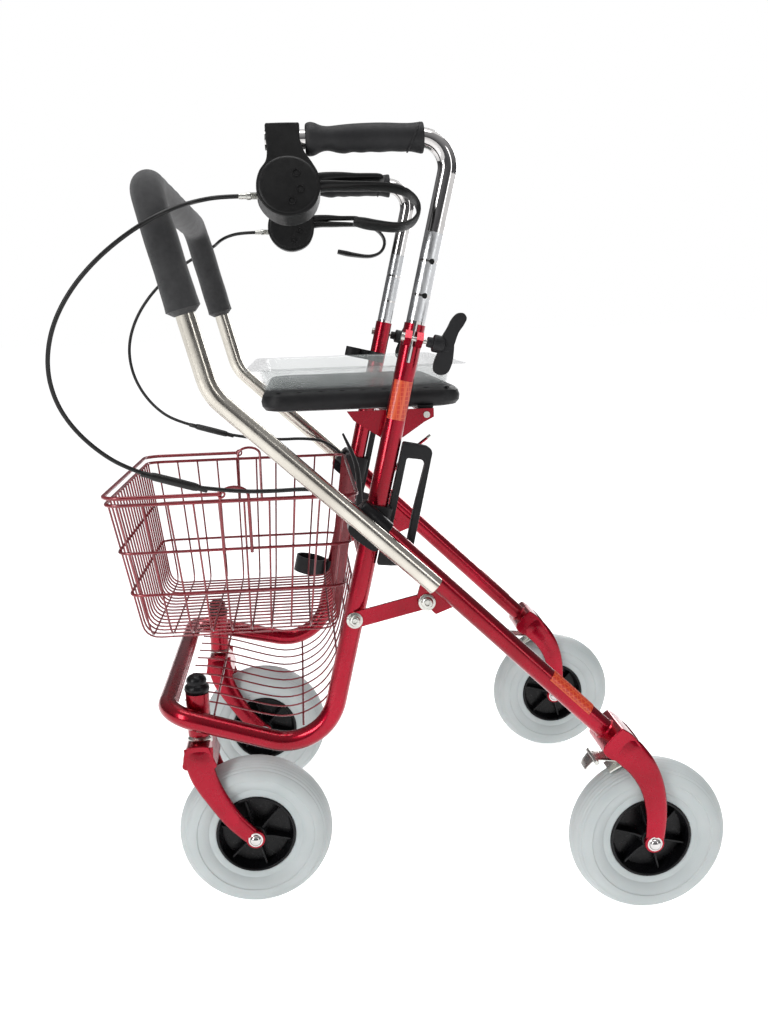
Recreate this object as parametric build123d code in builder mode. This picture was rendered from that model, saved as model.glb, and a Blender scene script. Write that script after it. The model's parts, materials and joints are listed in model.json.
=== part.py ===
"""A steel four-wheeled rollator walker with a wire basket, tray, seat and folding frame.

+X points in the direction of travel, +Y to the user's left and +Z up.  The origin is
on the floor, below the middle of the wheels, basket and backrest.
"""
import math
import os

from build123d import *

# ---- driving dimensions, millimetres and degrees ----
TUBE_R = 12.7                 # frame tube, outer radius
TUBE_BORE_R = 11.2            # frame tube, bore
UPRIGHT_Y = 232.0             # centre line of the uprights and handles
UPRIGHT_TOP_X = -8.5
UPRIGHT_TOP_Z = 750.0
UPRIGHT_LEAN = 13.7           # backward lean of the uprights
LOWER_BEND_Z = 219.0          # where the upright's and the side run's lines meet
FRONT_CORNER = (322.0, 208.0, 274.0)

POST_R = 11.15                # handle post, a sliding fit in the upright
POST_INSERT = 180.0           # length of post inside the upright
HANDLE_Z = 962.0
HANDLE_FRONT_X = 158.0
POST_BEND_R = 33.0
GRIP_X = (-24.0, 112.0)
LEFT_ROLL = 18.0              # the left brake unit is turned outwards on its tube
RIGHT_ROLL = 0.0

PIVOT_Z = 516.0               # carriage pivot, on the upright's centre line
LEG_Y = 268.0
LEG_DIRECTION = (-0.712, -0.702)
LEG_FRONT = 22.0              # leg in front of the pivot
LEG_REAR = 392.0              # leg behind the pivot
BACKREST_Y = 293.0
BACKREST_R = 11.0
FOAM_R = 19.0
LINK_FRONT_Z = 395.0
LINK_REAR = (-11.0, 415.0)

WHEEL_R = 100.0
TYRE_HALF_WIDTH = 25.0
RIM_R = 52.0
AXLE_R = 4.0
FORK_INNER = 27.0
FORK_OUTER = 33.0
REAR_AXLE_X = -284.0
CASTER_X = 282.0
CASTER_Y = 185.0
CASTER_TRAIL = 66.0
STEM_R = 7.0

SEAT_X = (-68.0, 180.0)
SEAT_HALF_WIDTH = 203.0
SEAT_Z = (648.0, 674.0)
SEAT_HINGE = (-22.0, 640.0)
TRAY_X = (-75.0, 198.0)
TRAY_HALF_WIDTH = 208.0
TRAY_RIM_Z = 701.0
BASKET_TOP_Z = 545.0
BASKET_BOTTOM_Z = 356.0
BASKET_HALF_WIDTH = 204.0
RUNNING = 0.05                # radial clearance of a running fit

SIDES = (("left", 1), ("right", -1))
LEAN_TAN = math.tan(math.radians(UPRIGHT_LEAN))
UP = Vector(-math.sin(math.radians(UPRIGHT_LEAN)), 0, math.cos(math.radians(UPRIGHT_LEAN)))
AHEAD = Vector(math.cos(math.radians(UPRIGHT_LEAN)), 0, math.sin(math.radians(UPRIGHT_LEAN)))
DOWN_LEG = Vector(LEG_DIRECTION[0], 0, LEG_DIRECTION[1])
LEG_NORMAL = Vector(-LEG_DIRECTION[1], 0, LEG_DIRECTION[0])
UP_AXIS = Vector(0, 0, 1)

os.makedirs("parts", exist_ok=True)


def save(part, name):
    """Label one finished piece and write its STEP file."""
    part.label = name
    export_step(part, f"parts/{name}.step")


def side_plane(y):
    """A plane facing -Y, with local x along +X and local y along +Z."""
    return Plane(origin=(0, y, 0), x_dir=(1, 0, 0), z_dir=(0, -1, 0))


def upright_point(z, y=UPRIGHT_Y):
    """The point at height z on the centre line of an upright."""
    return Vector(UPRIGHT_TOP_X + (UPRIGHT_TOP_Z - z) * LEAN_TAN, y, z)


def leg_point(distance, y=LEG_Y, drop=0.0):
    """A point along the rear leg from the pivot, and below its centre line by drop."""
    return upright_point(PIVOT_Z, y) + DOWN_LEG * distance + LEG_NORMAL * drop


def across(origin, direction):
    """A plane at origin whose normal is direction and whose local y lies along +Y."""
    normal = Vector(*direction).normalized()
    return Plane(origin=origin, x_dir=Vector(0, 1, 0).cross(normal), z_dir=normal)


def bent_tube(points, radii, outer_r, inner_r=0.0):
    """A round tube along straight runs joined by tangent arcs."""
    path = FilletPolyline(*points, radius=radii)
    with BuildPart() as tube:
        with BuildSketch(Plane(origin=path @ 0, z_dir=path % 0)):
            Circle(outer_r)
            if inner_r:
                Circle(inner_r, mode=Mode.SUBTRACT)
        sweep(path=path)
    return tube.part


def pin(start, end, radius):
    """A plain round pin from start to end."""
    start = Vector(*start)
    along = Vector(*end) - start
    foot = (Align.CENTER, Align.CENTER, Align.MIN)
    rod = Cylinder(radius, along.length, align=foot, mode=Mode.PRIVATE)
    return Plane(origin=start, z_dir=along) * rod


def mirrored(part):
    """The same piece on the other side of the walker."""
    return mirror(part, about=Plane.XZ)


# ---- front frame: one bent tube from handle socket to handle socket ----
bend = upright_point(LOWER_BEND_Z)
corner = Vector(*FRONT_CORNER)
half_route = [upright_point(UPRIGHT_TOP_Z), bend, corner]
frame_route = half_route + [Vector(p.X, -p.Y, p.Z) for p in reversed(half_route)]
BEND_RADII = [68.0, 45.0, 45.0, 68.0]
CLAMP_BOLT_Z = 733.0
CLAMP_BOLT_R = 3.0
EAR_Y = 18.0                  # clamp bolt outboard of the upright's centre line
EAR_GAP = 3.0
EAR_REACH = 11.0              # clamp ears in front of and behind the centre line
SLIT_LENGTH = 46.0
KNOB_START = 16.0             # wing knob's collar behind the centre line
link_front = upright_point(LINK_FRONT_Z)

frame_outside = bent_tube(frame_route, BEND_RADII, TUBE_R)
frame_bore = bent_tube(frame_route, BEND_RADII, TUBE_BORE_R)
with BuildPart() as front_frame:
    add(frame_outside)
    for _, side in SIDES:
        for gap in (-EAR_REACH, EAR_GAP):
            ear = Plane(
                origin=upright_point(CLAMP_BOLT_Z, side * UPRIGHT_Y) + AHEAD * gap,
                x_dir=(0, side, 0),
                z_dir=AHEAD,
            )
            with BuildSketch(ear):
                with BuildLine():
                    Polyline((6, -9), (EAR_Y, -9), (EAR_Y + 8, 0), (EAR_Y, 9), (6, 9), close=True)
                make_face()
            extrude(amount=EAR_REACH - EAR_GAP)
    add(frame_bore, mode=Mode.SUBTRACT)
    for _, side in SIDES:
        slit = Plane(
            origin=upright_point(UPRIGHT_TOP_Z, side * UPRIGHT_Y),
            x_dir=AHEAD,
            z_dir=(0, side, 0),
        )
        with BuildSketch(slit.offset(TUBE_BORE_R - 4)):
            Rectangle(5, 2 * SLIT_LENGTH)
        extrude(amount=6, mode=Mode.SUBTRACT)
        top = upright_point(CLAMP_BOLT_Z, side * (UPRIGHT_Y + EAR_Y))
        add(pin(top - AHEAD * 14, top + AHEAD * 14, CLAMP_BOLT_R), mode=Mode.SUBTRACT)
        hinge = Vector(link_front.X, side * UPRIGHT_Y, link_front.Z)
        add(pin(hinge - Vector(0, 20, 0), hinge + Vector(0, 20, 0), 4.0), mode=Mode.SUBTRACT)
save(front_frame.part, "front_frame")

# ---- cross tubes: a seat rail high up and a lock rail low down, coped to the uprights ----
SEAT_RAIL_Z = 636.0
LOCK_RAIL = upright_point(468.0, 0)
RAIL_R = 9.5
with BuildPart() as cross_tubes:
    for height in (SEAT_RAIL_Z, LOCK_RAIL.Z):
        centre = upright_point(height, 0)
        end = Vector(0, UPRIGHT_Y, 0)
        add(pin(centre - end, centre + end, RAIL_R))
        add(pin(centre - end, centre + end, RAIL_R - 1.5), mode=Mode.SUBTRACT)
    add(frame_outside, mode=Mode.SUBTRACT)
save(cross_tubes.part, "cross_tubes")

# ---- seat brackets: pressed sheet wings welded round the seat rail ----
BRACKET_Y = (207.0, 210.0)
seat_rail = upright_point(SEAT_RAIL_Z, 0)
with BuildPart() as seat_brackets:
    with BuildSketch(side_plane(BRACKET_Y[1])):
        with BuildLine():
            Polyline(
                (-31, 647.5), (76, 647.5), (68, 636), (34, 613), (8, 613), (-19, 631), (-31, 637),
                close=True,
            )
        make_face()
        with Locations((seat_rail.X, seat_rail.Z)):
            Circle(RAIL_R, mode=Mode.SUBTRACT)
        with Locations(SEAT_HINGE):
            Circle(AXLE_R, mode=Mode.SUBTRACT)
    extrude(amount=BRACKET_Y[1] - BRACKET_Y[0])
    mirror(about=Plane.XZ)
save(seat_brackets.part, "seat_brackets")

with BuildPart() as seat_hinge_rod:
    hinge_end = Vector(0, BRACKET_Y[1] + 2, 0)
    hinge_mid = Vector(SEAT_HINGE[0], 0, SEAT_HINGE[1])
    add(pin(hinge_mid - hinge_end, hinge_mid + hinge_end, AXLE_R))
save(seat_hinge_rod.part, "seat_hinge_rod")

# ---- caster stem sockets inside the front corners, with their knob caps ----
SOCKET_R = 15.0
SOCKET_Z = (236.0, 292.0)
CAP_DOME_R = 11.0
with BuildPart() as stem_sockets:
    for _, side in SIDES:
        with BuildSketch(Plane.XY.offset(SOCKET_Z[0])):
            with Locations((CASTER_X, side * CASTER_Y)):
                Circle(SOCKET_R)
                Circle(STEM_R + RUNNING, mode=Mode.SUBTRACT)
        extrude(amount=SOCKET_Z[1] - SOCKET_Z[0])
    add(frame_outside, mode=Mode.SUBTRACT)
save(stem_sockets.part, "stem_sockets")

with BuildPart() as stem_caps:
    for _, side in SIDES:
        base = Vector(CASTER_X, side * CASTER_Y, SOCKET_Z[1])
        with BuildSketch(Plane(origin=base, x_dir=(1, 0, 0), z_dir=(0, -1, 0))):
            with BuildLine():
                Polyline(
                    (0, CAP_DOME_R * 2), (0, 0), (15, 0), (16, 3), (16, 8), (CAP_DOME_R, CAP_DOME_R),
                )
                CenterArc((0, CAP_DOME_R), CAP_DOME_R, 0, 90)
            make_face()
        revolve(axis=Axis(base, (0, 0, 1)))
save(stem_caps.part, "stem_caps")

# ---- fasteners of the front frame ----
LINK_Y = (246.0, 250.0)
with BuildPart() as link_bolts:
    shank = (219.0, LINK_Y[1] + 0.4, AXLE_R)
    washer = (LINK_Y[1] + 0.4, 253.0, 9.0)
    for start, end, radius in ((216.0, 219.0, 7.0), shank, washer, (253.0, 256.0, 5.5)):
        add(pin((link_front.X, start, link_front.Z), (link_front.X, end, link_front.Z), radius))
    mirror(about=Plane.XZ)
save(link_bolts.part, "link_bolts")

with BuildPart() as clamp_bolts:
    for _, side in SIDES:
        bolt = upright_point(CLAMP_BOLT_Z, side * (UPRIGHT_Y + EAR_Y))
        add(pin(bolt + AHEAD * EAR_REACH, bolt - AHEAD * (KNOB_START + 15), CLAMP_BOLT_R))
        add(pin(bolt + AHEAD * EAR_REACH, bolt + AHEAD * (EAR_REACH + 4), 5.5))
save(clamp_bolts.part, "clamp_bolts")

# ---- reflectors: a thin skin on the outer side of each upright ----
REFLECTOR_Z = (638.0, 684.0)
with BuildPart() as frame_reflectors:
    for _, side in SIDES:
        foot = upright_point(REFLECTOR_Z[0], side * UPRIGHT_Y)
        with BuildSketch(across(foot, UP)):
            with BuildLine():
                l_outer = CenterArc((0, 0), TUBE_R + 0.7, 90 * side - 55, 110)
                l_inner = CenterArc((0, 0), TUBE_R, 90 * side - 55, 110)
                Line(l_outer @ 0, l_inner @ 0)
                Line(l_outer @ 1, l_inner @ 1)
            make_face()
        extrude(amount=(REFLECTOR_Z[1] - REFLECTOR_Z[0]) / UP.Z)
save(frame_reflectors.part, "frame_reflectors")

REAR_REFLECTOR = (288.0, 356.0)
with BuildPart() as leg_reflectors:
    with BuildSketch(across(leg_point(REAR_REFLECTOR[0]), DOWN_LEG)):
        with BuildLine():
            l_outer = CenterArc((0, 0), TUBE_R + 0.7, 5, 80)
            l_inner = CenterArc((0, 0), TUBE_R, 5, 80)
            Line(l_outer @ 0, l_inner @ 0)
            Line(l_outer @ 1, l_inner @ 1)
        make_face()
    extrude(amount=REAR_REFLECTOR[1] - REAR_REFLECTOR[0])
    mirror(about=Plane.XZ)
save(leg_reflectors.part, "leg_reflectors")

# ---- lower shelf: a sagging sling from the front bar up between the uprights ----
SHELF_HALF_WIDTH = 185.0
SHELF_T = 1.5
with BuildPart() as lower_shelf:
    with BuildSketch(side_plane(0)):
        with BuildLine():
            Spline((303, 268), (262, 262), (176, 238), (126, 252), (97, 290), (82, 340), (70, 395))
        trace(line_width=SHELF_T)
    extrude(amount=SHELF_HALF_WIDTH, both=True)
    for _, side in SIDES:
        socket = Vector(CASTER_X, side * CASTER_Y, 0)
        add(pin(socket, socket + UP_AXIS * 400, SOCKET_R + 2), mode=Mode.SUBTRACT)
save(lower_shelf.part, "lower_shelf")

# ---- cane holder on the right upright: a spring clip above and a cup below ----
CANE_AHEAD = 40.0
CLIP_Z = 688.0
CUP_Z = 335.0
CLIP_R = 11.0
CLIP_OPEN_BEHIND = 10.0       # the clip's collar is open here, where the grab loop passes
CUP_R = 22.0
with BuildPart() as cane_clip:
    clip_base = across(upright_point(CLIP_Z, -UPRIGHT_Y), UP)
    with BuildSketch(clip_base):
        Circle(TUBE_R + 3.3)
        with Locations((CANE_AHEAD, 0)):
            Circle(CLIP_R + 3)
        with Locations((CANE_AHEAD / 2, 0)):
            Rectangle(CANE_AHEAD, 9)
        Circle(TUBE_R, mode=Mode.SUBTRACT)
        with Locations((CANE_AHEAD, 0)):
            Circle(CLIP_R, mode=Mode.SUBTRACT)
        with Locations((CANE_AHEAD + 14, 0)):
            Rectangle(20, 15, mode=Mode.SUBTRACT)
        with Locations((-CLIP_OPEN_BEHIND - 10, 0)):
            Rectangle(20, 40, mode=Mode.SUBTRACT)
    extrude(amount=15)
save(cane_clip.part, "cane_clip")

with BuildPart() as cane_cup:
    cup_base = across(upright_point(CUP_Z, -UPRIGHT_Y), UP)
    with BuildSketch(cup_base):
        Circle(TUBE_R + 3.3)
        with Locations((CANE_AHEAD, 0)):
            Circle(CUP_R + 3)
        Circle(TUBE_R, mode=Mode.SUBTRACT)
    extrude(amount=26)
    with BuildSketch(cup_base.offset(3)):
        with Locations((CANE_AHEAD, 0)):
            Circle(CUP_R)
    extrude(amount=26, mode=Mode.SUBTRACT)
save(cane_cup.part, "cane_cup")

# ---- handle posts, grips, brake units and wing knobs ----
handle_corner_x = UPRIGHT_TOP_X + (UPRIGHT_TOP_Z - HANDLE_Z) * LEAN_TAN


def handle_post(side):
    """A chromed tube from inside the upright, bent forwards for the grip."""
    y = side * UPRIGHT_Y
    foot = upright_point(UPRIGHT_TOP_Z, y) - UP * POST_INSERT
    route = [foot, Vector(handle_corner_x, y, HANDLE_Z), Vector(HANDLE_FRONT_X, y, HANDLE_Z)]
    return bent_tube(route, [POST_BEND_R], POST_R, POST_R - 1.5)


def hand_grip(side):
    """A moulded grip with flared ends and finger waves, open for its tube."""
    y = side * UPRIGHT_Y
    rear, front = GRIP_X
    plane = Plane(origin=(0, y, HANDLE_Z), x_dir=(1, 0, 0), z_dir=(0, -1, 0))
    with BuildPart() as grip:
        with BuildSketch(plane):
            with BuildLine():
                Spline(
                    (rear, 15.5), (rear + 12, 15.0), (rear + 38, 15.6), (rear + 68, 14.6),
                    (rear + 90, 15.4), (rear + 108, 13.4), (front - 10, 17.4), (front, 15.5),
                )
                Polyline((front, 15.5), (front, POST_R), (rear, POST_R), (rear, 15.5))
            make_face()
        revolve(axis=Axis((0, y, HANDLE_Z), (1, 0, 0)))
    return grip.part


def unit_plane(side, roll):
    """The middle plane of a brake unit, with its origin on the grip's centre line."""
    lean = math.radians(roll) * side
    return Plane(
        origin=(0, side * UPRIGHT_Y, HANDLE_Z),
        x_dir=(1, 0, 0),
        z_dir=(0, -math.cos(lean), -math.sin(lean)),
    )


UNIT_BLOCK = (118.0, 157.0)
UNIT_BODY = (134.0, -60.0)
UNIT_BODY_R = 35.0
UNIT_HALF_WIDTH = 14.5
LEVER_PIVOT = (112.0, -60.0)
LEVER_HALF_WIDTH = 9.5
LEVER_PIN_R = 3.0
ADJUSTER_DROP = -66.0
ADJUSTER_X = (168.0, 190.0)


def brake_housing(side, roll):
    """A two-part clamp block above a round cable drum case."""
    plane = unit_plane(side, roll)
    with BuildPart() as housing:
        with BuildSketch(plane):
            with BuildLine():
                Polyline((119, -14), (UNIT_BLOCK[0], 14), (UNIT_BLOCK[1], 14), (158, -14), (160, -34))
                ThreePointArc((160, -34), (135, -95), (99.5, -68))
                Polyline((99.5, -68), (104, -40), (119, -14))
            make_face()
        extrude(amount=UNIT_HALF_WIDTH, both=True)
        outer_faces = housing.faces().filter_by(Axis(plane.origin, plane.z_dir))
        chamfer(outer_faces.edges(), 2.5)
        with BuildSketch(plane):
            with Locations((91, -60)):
                Rectangle(66, 34)
        extrude(amount=LEVER_HALF_WIDTH + 0.5, both=True, mode=Mode.SUBTRACT)
        axis_start = plane.from_local_coords((60, 0, 0))
        axis_end = plane.from_local_coords((UNIT_BLOCK[1] + 4, 0, 0))
        add(pin(axis_start, axis_end, POST_R), mode=Mode.SUBTRACT)
        for x, z in ((130, -46), (136, -66), (122, -84)):
            with BuildSketch(plane.offset(UNIT_HALF_WIDTH)):
                with Locations((x, z)):
                    Circle(3.6)
            extrude(amount=-2.5, mode=Mode.SUBTRACT)
        for face_side in (-1, 1):
            with BuildSketch(plane.offset(face_side * UNIT_HALF_WIDTH)):
                with Locations(LEVER_PIVOT):
                    Circle(LEVER_PIN_R + RUNNING)
            extrude(amount=-face_side * UNIT_HALF_WIDTH, mode=Mode.SUBTRACT)
    return housing.part


def brake_lever(side, roll):
    """A hooked finger lever with its pivot pin."""
    plane = unit_plane(side, roll)
    pivot_x, pivot_z = LEVER_PIVOT
    with BuildPart() as lever:
        with BuildSketch(plane):
            with BuildLine():
                Spline((pivot_x - 2, pivot_z + 8), (80, -50), (50, -50.5), (26, -49))
                Polyline((26, -49), (26, -57), (20, -57.5))
                Spline((20, -57.5), (4, -62), (-12, -73), (-15, -90), (-6, -106), (12, -112))
                Polyline((12, -112), (58, -105))
                ThreePointArc((58, -105), (64, -99), (59, -92.5))
                Polyline((59, -92.5), (16, -99))
                Spline(
                    (16, -99), (2, -98), (-6, -88), (-2, -76), (14, -68), (50, -65.5), (86, -68),
                    (pivot_x - 2, pivot_z - 9),
                )
                Line((pivot_x - 2, pivot_z - 9), (pivot_x - 2, pivot_z + 8))
            make_face()
            with Locations(LEVER_PIVOT):
                Circle(9.5)
        extrude(amount=LEVER_HALF_WIDTH, both=True)
        with BuildSketch(plane):
            with Locations(LEVER_PIVOT):
                Circle(LEVER_PIN_R)
        extrude(amount=UNIT_HALF_WIDTH - 1, both=True)
    return lever.part


def cable_adjuster(side, roll):
    """A plated barrel where the brake cable leaves the case."""
    plane = unit_plane(side, roll)
    start = plane.from_local_coords((ADJUSTER_X[0], ADJUSTER_DROP, 0))
    shoulder = plane.from_local_coords((ADJUSTER_X[0] + 12, ADJUSTER_DROP, 0))
    end = plane.from_local_coords((ADJUSTER_X[1], ADJUSTER_DROP, 0))
    case = brake_housing(side, roll)
    with BuildPart() as adjuster:
        add(pin(start, shoulder, 4.2))
        add(pin(shoulder, end, 3.2))
        add(case, mode=Mode.SUBTRACT)
    return adjuster.part


def wing_knob(side):
    """A two-winged clamping knob on the rear end of the clamp bolt."""
    bolt = upright_point(CLAMP_BOLT_Z, side * (UPRIGHT_Y + EAR_Y))
    with BuildPart() as knob:
        add(pin(bolt - AHEAD * KNOB_START, bolt - AHEAD * (KNOB_START + 7), 6.5))
        add(pin(bolt - AHEAD * (KNOB_START + 7), bolt - AHEAD * (KNOB_START + 20), 10.5))
        wings = Plane(origin=bolt - AHEAD * (KNOB_START + 14), x_dir=UP, z_dir=(0, -1, 0))
        with BuildSketch(wings):
            for end in (-1, 1):
                with BuildLine():
                    Spline(
                        (end * 4, -8), (end * 22, -5), (end * 35, 3), (end * 33, 16), (end * 20, 16),
                        (end * 4, 8),
                    )
                    Line((end * 4, 8), (end * 4, -8))
                make_face()
        extrude(amount=4, both=True)
        add(pin(bolt, bolt - AHEAD * (KNOB_START + 17), CLAMP_BOLT_R + RUNNING), mode=Mode.SUBTRACT)
    return knob.part


for name, side in SIDES:
    roll = LEFT_ROLL if side > 0 else RIGHT_ROLL
    save(handle_post(side), f"{name}_handle_post")
    save(hand_grip(side), f"{name}_grip")
    save(brake_housing(side, roll), f"{name}_brake_housing")
    save(brake_lever(side, roll), f"{name}_brake_lever")
    save(cable_adjuster(side, roll), f"{name}_cable_adjuster")
    save(wing_knob(side), f"{name}_wing_knob")

# ---- brake cables: a long free loop to a joiner sleeve, then a tail into the rear leg ----
CABLE_R = 2.5
SLEEVE_R = 4.2
PLUG_FACE = 30.0              # the leg plug's face in front of the pivot
CABLE_LEAD = 22.0             # straight run out of the adjuster
cable_end = leg_point(-PLUG_FACE)
tail_bend = leg_point(-PLUG_FACE - 30)
left_start = unit_plane(1, LEFT_ROLL).from_local_coords((ADJUSTER_X[1], ADJUSTER_DROP, 0))
right_start = unit_plane(-1, RIGHT_ROLL).from_local_coords((ADJUSTER_X[1], ADJUSTER_DROP, 0))
LEFT_LOOP = [
    tuple(left_start), tuple(left_start + Vector(CABLE_LEAD, 0, 0)),
    (234, 270, 894), (250, 302, 886), (272, 322, 876), (306, 332, 856),
    (342, 337, 828), (372, 338, 795), (393, 336, 758), (402, 331, 718),
    (398, 323, 682), (384, 313, 651), (361, 302, 623), (333, 292, 601), (304, 286, 589),
]
LEFT_TAIL = [
    (257, 277, 573), (212, 273, 565), (168, 270, 563), (128, 268, 564), tuple(tail_bend), tuple(cable_end),
]
RIGHT_LOOP = [
    tuple(right_start), tuple(right_start + Vector(CABLE_LEAD, 0, 0)),
    (234, -250, 893), (250, -281, 888), (262, -314, 881), (296, -329, 866),
    (336, -336, 842), (374, -338, 808), (402, -337, 768), (416, -333, 724),
    (412, -326, 681), (394, -317, 643), (366, -307, 613), (336, -300, 597), (306, -296, 588),
]
RIGHT_TAIL = [
    (259, -286, 575), (214, -279, 566), (170, -273, 563), (130, -269, 564),
    (tail_bend.X, -tail_bend.Y, tail_bend.Z), (cable_end.X, -cable_end.Y, cable_end.Z),
]


def corner_radii(route):
    """The largest comfortable arc at each inner point of a cable route."""
    points = [Vector(*p) for p in route]
    radii = []
    for before, here, after in zip(points, points[1:], points[2:]):
        turn = math.radians((here - before).get_angle(after - here))
        shorter = min((here - before).length, (after - here).length)
        radii.append(0.45 * shorter / math.tan(turn / 2))
    return radii


def brake_cable(route, name):
    """A plain tube along one cable route, with its radii and volume printed."""
    radii = corner_radii(route)
    tube = bent_tube(route, radii, CABLE_R)
    path = FilletPolyline(*route, radius=radii)
    full = math.pi * CABLE_R**2 * path.length
    rounded = [round(r) for r in radii]
    print(name, "length", round(path.length), "radii", rounded, "volume", round(tube.volume / full, 4))
    return tube


save(brake_cable(LEFT_LOOP, "left_cable_loop"), "left_cable_loop")
save(brake_cable(LEFT_TAIL, "left_cable_tail"), "left_cable_tail")
save(brake_cable(RIGHT_LOOP, "right_cable_loop"), "right_cable_loop")
save(brake_cable(RIGHT_TAIL, "right_cable_tail"), "right_cable_tail")

with BuildPart() as cable_sleeves:
    add(pin(LEFT_LOOP[-1], LEFT_TAIL[0], SLEEVE_R))
    add(pin(RIGHT_LOOP[-1], RIGHT_TAIL[0], SLEEVE_R))
save(cable_sleeves.part, "cable_sleeves")

# ---- seat, tray, basket and its carry handle ----
KNUCKLE_Y = (188.0, 202.0)
with BuildPart() as seat:
    with BuildSketch(Plane.XY.offset(SEAT_Z[0])):
        with Locations(((SEAT_X[0] + SEAT_X[1]) / 2, 0)):
            RectangleRounded(SEAT_X[1] - SEAT_X[0], 2 * SEAT_HALF_WIDTH, 24)
    extrude(amount=SEAT_Z[1] - SEAT_Z[0])
    fillet(seat.faces().sort_by(Axis.Z)[-1].edges(), 8)
    fillet(seat.faces().sort_by(Axis.Z)[0].edges(), 10)
    with BuildSketch(side_plane(KNUCKLE_Y[1])):
        with Locations((SEAT_HINGE[0], (SEAT_HINGE[1] + SEAT_Z[0]) / 2 + 2)):
            Rectangle(16, SEAT_Z[0] - SEAT_HINGE[1] + 4)
        with Locations(SEAT_HINGE):
            Circle(8)
    extrude(amount=KNUCKLE_Y[1] - KNUCKLE_Y[0])
    mirror(about=Plane.XZ)
    hinge_reach = Vector(0, SEAT_HALF_WIDTH, 0)
    add(pin(hinge_mid - hinge_reach, hinge_mid + hinge_reach, AXLE_R + RUNNING), mode=Mode.SUBTRACT)
save(seat.part, "seat")


def open_box(bottom, top, wall, floor):
    """A tapered open-topped box between two rounded rectangles (x0, x1, half_y, z)."""
    with BuildPart() as box:
        for inset, lift in ((0.0, 0.0), (wall, floor)):
            for x0, x1, half_y, z in (bottom, top):
                height = z + (lift if z == bottom[3] else 0.0)
                with BuildSketch(Plane.XY.offset(height)):
                    with Locations(((x0 + x1) / 2, 0)):
                        RectangleRounded(x1 - x0 - 2 * inset, 2 * (half_y - inset), 14)
            loft(mode=Mode.ADD if inset == 0 else Mode.SUBTRACT)
    return box.part


TRAY_FLOOR_Z = SEAT_Z[1] + 0.2
tray_shell = open_box(
    (TRAY_X[0] + 24, TRAY_X[1] - 22, TRAY_HALF_WIDTH - 18, TRAY_FLOOR_Z),
    (TRAY_X[0] + 17, TRAY_X[1] - 16, TRAY_HALF_WIDTH - 12, TRAY_RIM_Z),
    2.0,
    2.0,
)
with BuildPart() as tray:
    add(tray_shell)
    with BuildSketch(Plane.XY.offset(TRAY_RIM_Z - 2)):
        with Locations(((TRAY_X[0] + TRAY_X[1]) / 2, 0)):
            RectangleRounded(TRAY_X[1] - TRAY_X[0], 2 * TRAY_HALF_WIDTH, 16)
            inner_size = (TRAY_X[1] - TRAY_X[0] - 36, 2 * (TRAY_HALF_WIDTH - 14))
            RectangleRounded(*inner_size, 12, mode=Mode.SUBTRACT)
    extrude(amount=2)
save(tray.part, "tray")

BASKET_TOP_X = (66.0, 379.0)
BASKET_BOTTOM_X = (94.0, 350.0)
BASKET_WALL = 1.5
save(
    open_box(
        (BASKET_BOTTOM_X[0], BASKET_BOTTOM_X[1], 160.0, BASKET_BOTTOM_Z),
        (BASKET_TOP_X[0], BASKET_TOP_X[1], BASKET_HALF_WIDTH, BASKET_TOP_Z),
        BASKET_WALL,
        BASKET_WALL,
    ),
    "basket",
)

HANDLE_WIRE_R = 2.5
HANDLE_EYE = (234.0, 552.0)
handle_tip = 384.0 - HANDLE_WIRE_R
handle_side = BASKET_HALF_WIDTH + 2
handle_route = [
    (HANDLE_EYE[0], handle_side, HANDLE_EYE[1]), (handle_tip, handle_side, HANDLE_EYE[1]),
    (handle_tip, -handle_side, HANDLE_EYE[1]), (HANDLE_EYE[0], -handle_side, HANDLE_EYE[1]),
]
save(bent_tube(handle_route, [26.0, 26.0], HANDLE_WIRE_R), "basket_handle")

# ---- fold lock lever: a bent flat bar that straddles the lock rail ----
LOCK_HALF_WIDTH = 9.0
with BuildPart() as fold_lock_lever:
    with BuildSketch(side_plane(0)):
        with BuildLine():
            lock = (LOCK_RAIL.X, LOCK_RAIL.Z)
            Polyline(
                (lock[0] - 14, lock[1] + 3), (50, 510), (54, 556), (72, 599), (76, 597), (60, 554),
                (58, 512), (lock[0] + 14, lock[1]), (lock[0], lock[1] - 14), (lock[0] - 14, lock[1] - 4),
                (-8, 552), (-52, 588), (-49, 592), (-4, 556), (lock[0] - 14, lock[1] + 3),
            )
        make_face()
        with Locations(lock):
            Circle(RAIL_R + RUNNING, mode=Mode.SUBTRACT)
    extrude(amount=LOCK_HALF_WIDTH, both=True)
save(fold_lock_lever.part, "fold_lock_lever")

# ---- carriages that slide on the uprights, and the grab loops they carry ----
CARRIAGE_HALF_LENGTH = 20.0
CARRIAGE_INNER_Y = 213.0
CARRIAGE_OUTER_Y = 250.0
with BuildPart() as carriages:
    pivot = upright_point(PIVOT_Z, 0)
    with BuildSketch(Plane(origin=pivot - UP * CARRIAGE_HALF_LENGTH, x_dir=AHEAD, z_dir=UP)):
        with Locations((0, (CARRIAGE_INNER_Y + CARRIAGE_OUTER_Y) / 2)):
            RectangleRounded(36, CARRIAGE_OUTER_Y - CARRIAGE_INNER_Y, 6)
    extrude(amount=2 * CARRIAGE_HALF_LENGTH)
    add(pin((pivot.X, 240, pivot.Z), (pivot.X, CARRIAGE_OUTER_Y + 1, pivot.Z), 12.0))
    add(pin((pivot.X, 240, pivot.Z), (pivot.X, LEG_Y + 9, pivot.Z), AXLE_R))
    slide_foot = upright_point(PIVOT_Z - 60)
    add(pin(slide_foot, slide_foot + UP * 120, TUBE_R + RUNNING), mode=Mode.SUBTRACT)
    mirror(about=Plane.XZ)
save(carriages.part, "carriages")

LOOP_Y = (222.5, 243.5)
LOOP_GAP = 14.6               # loop's front edge behind the upright's centre line


def behind_upright(z, extra=0.0):
    """Sketch point just behind the upright at height z."""
    return (upright_point(z).X - LOOP_GAP - extra, z)


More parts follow.
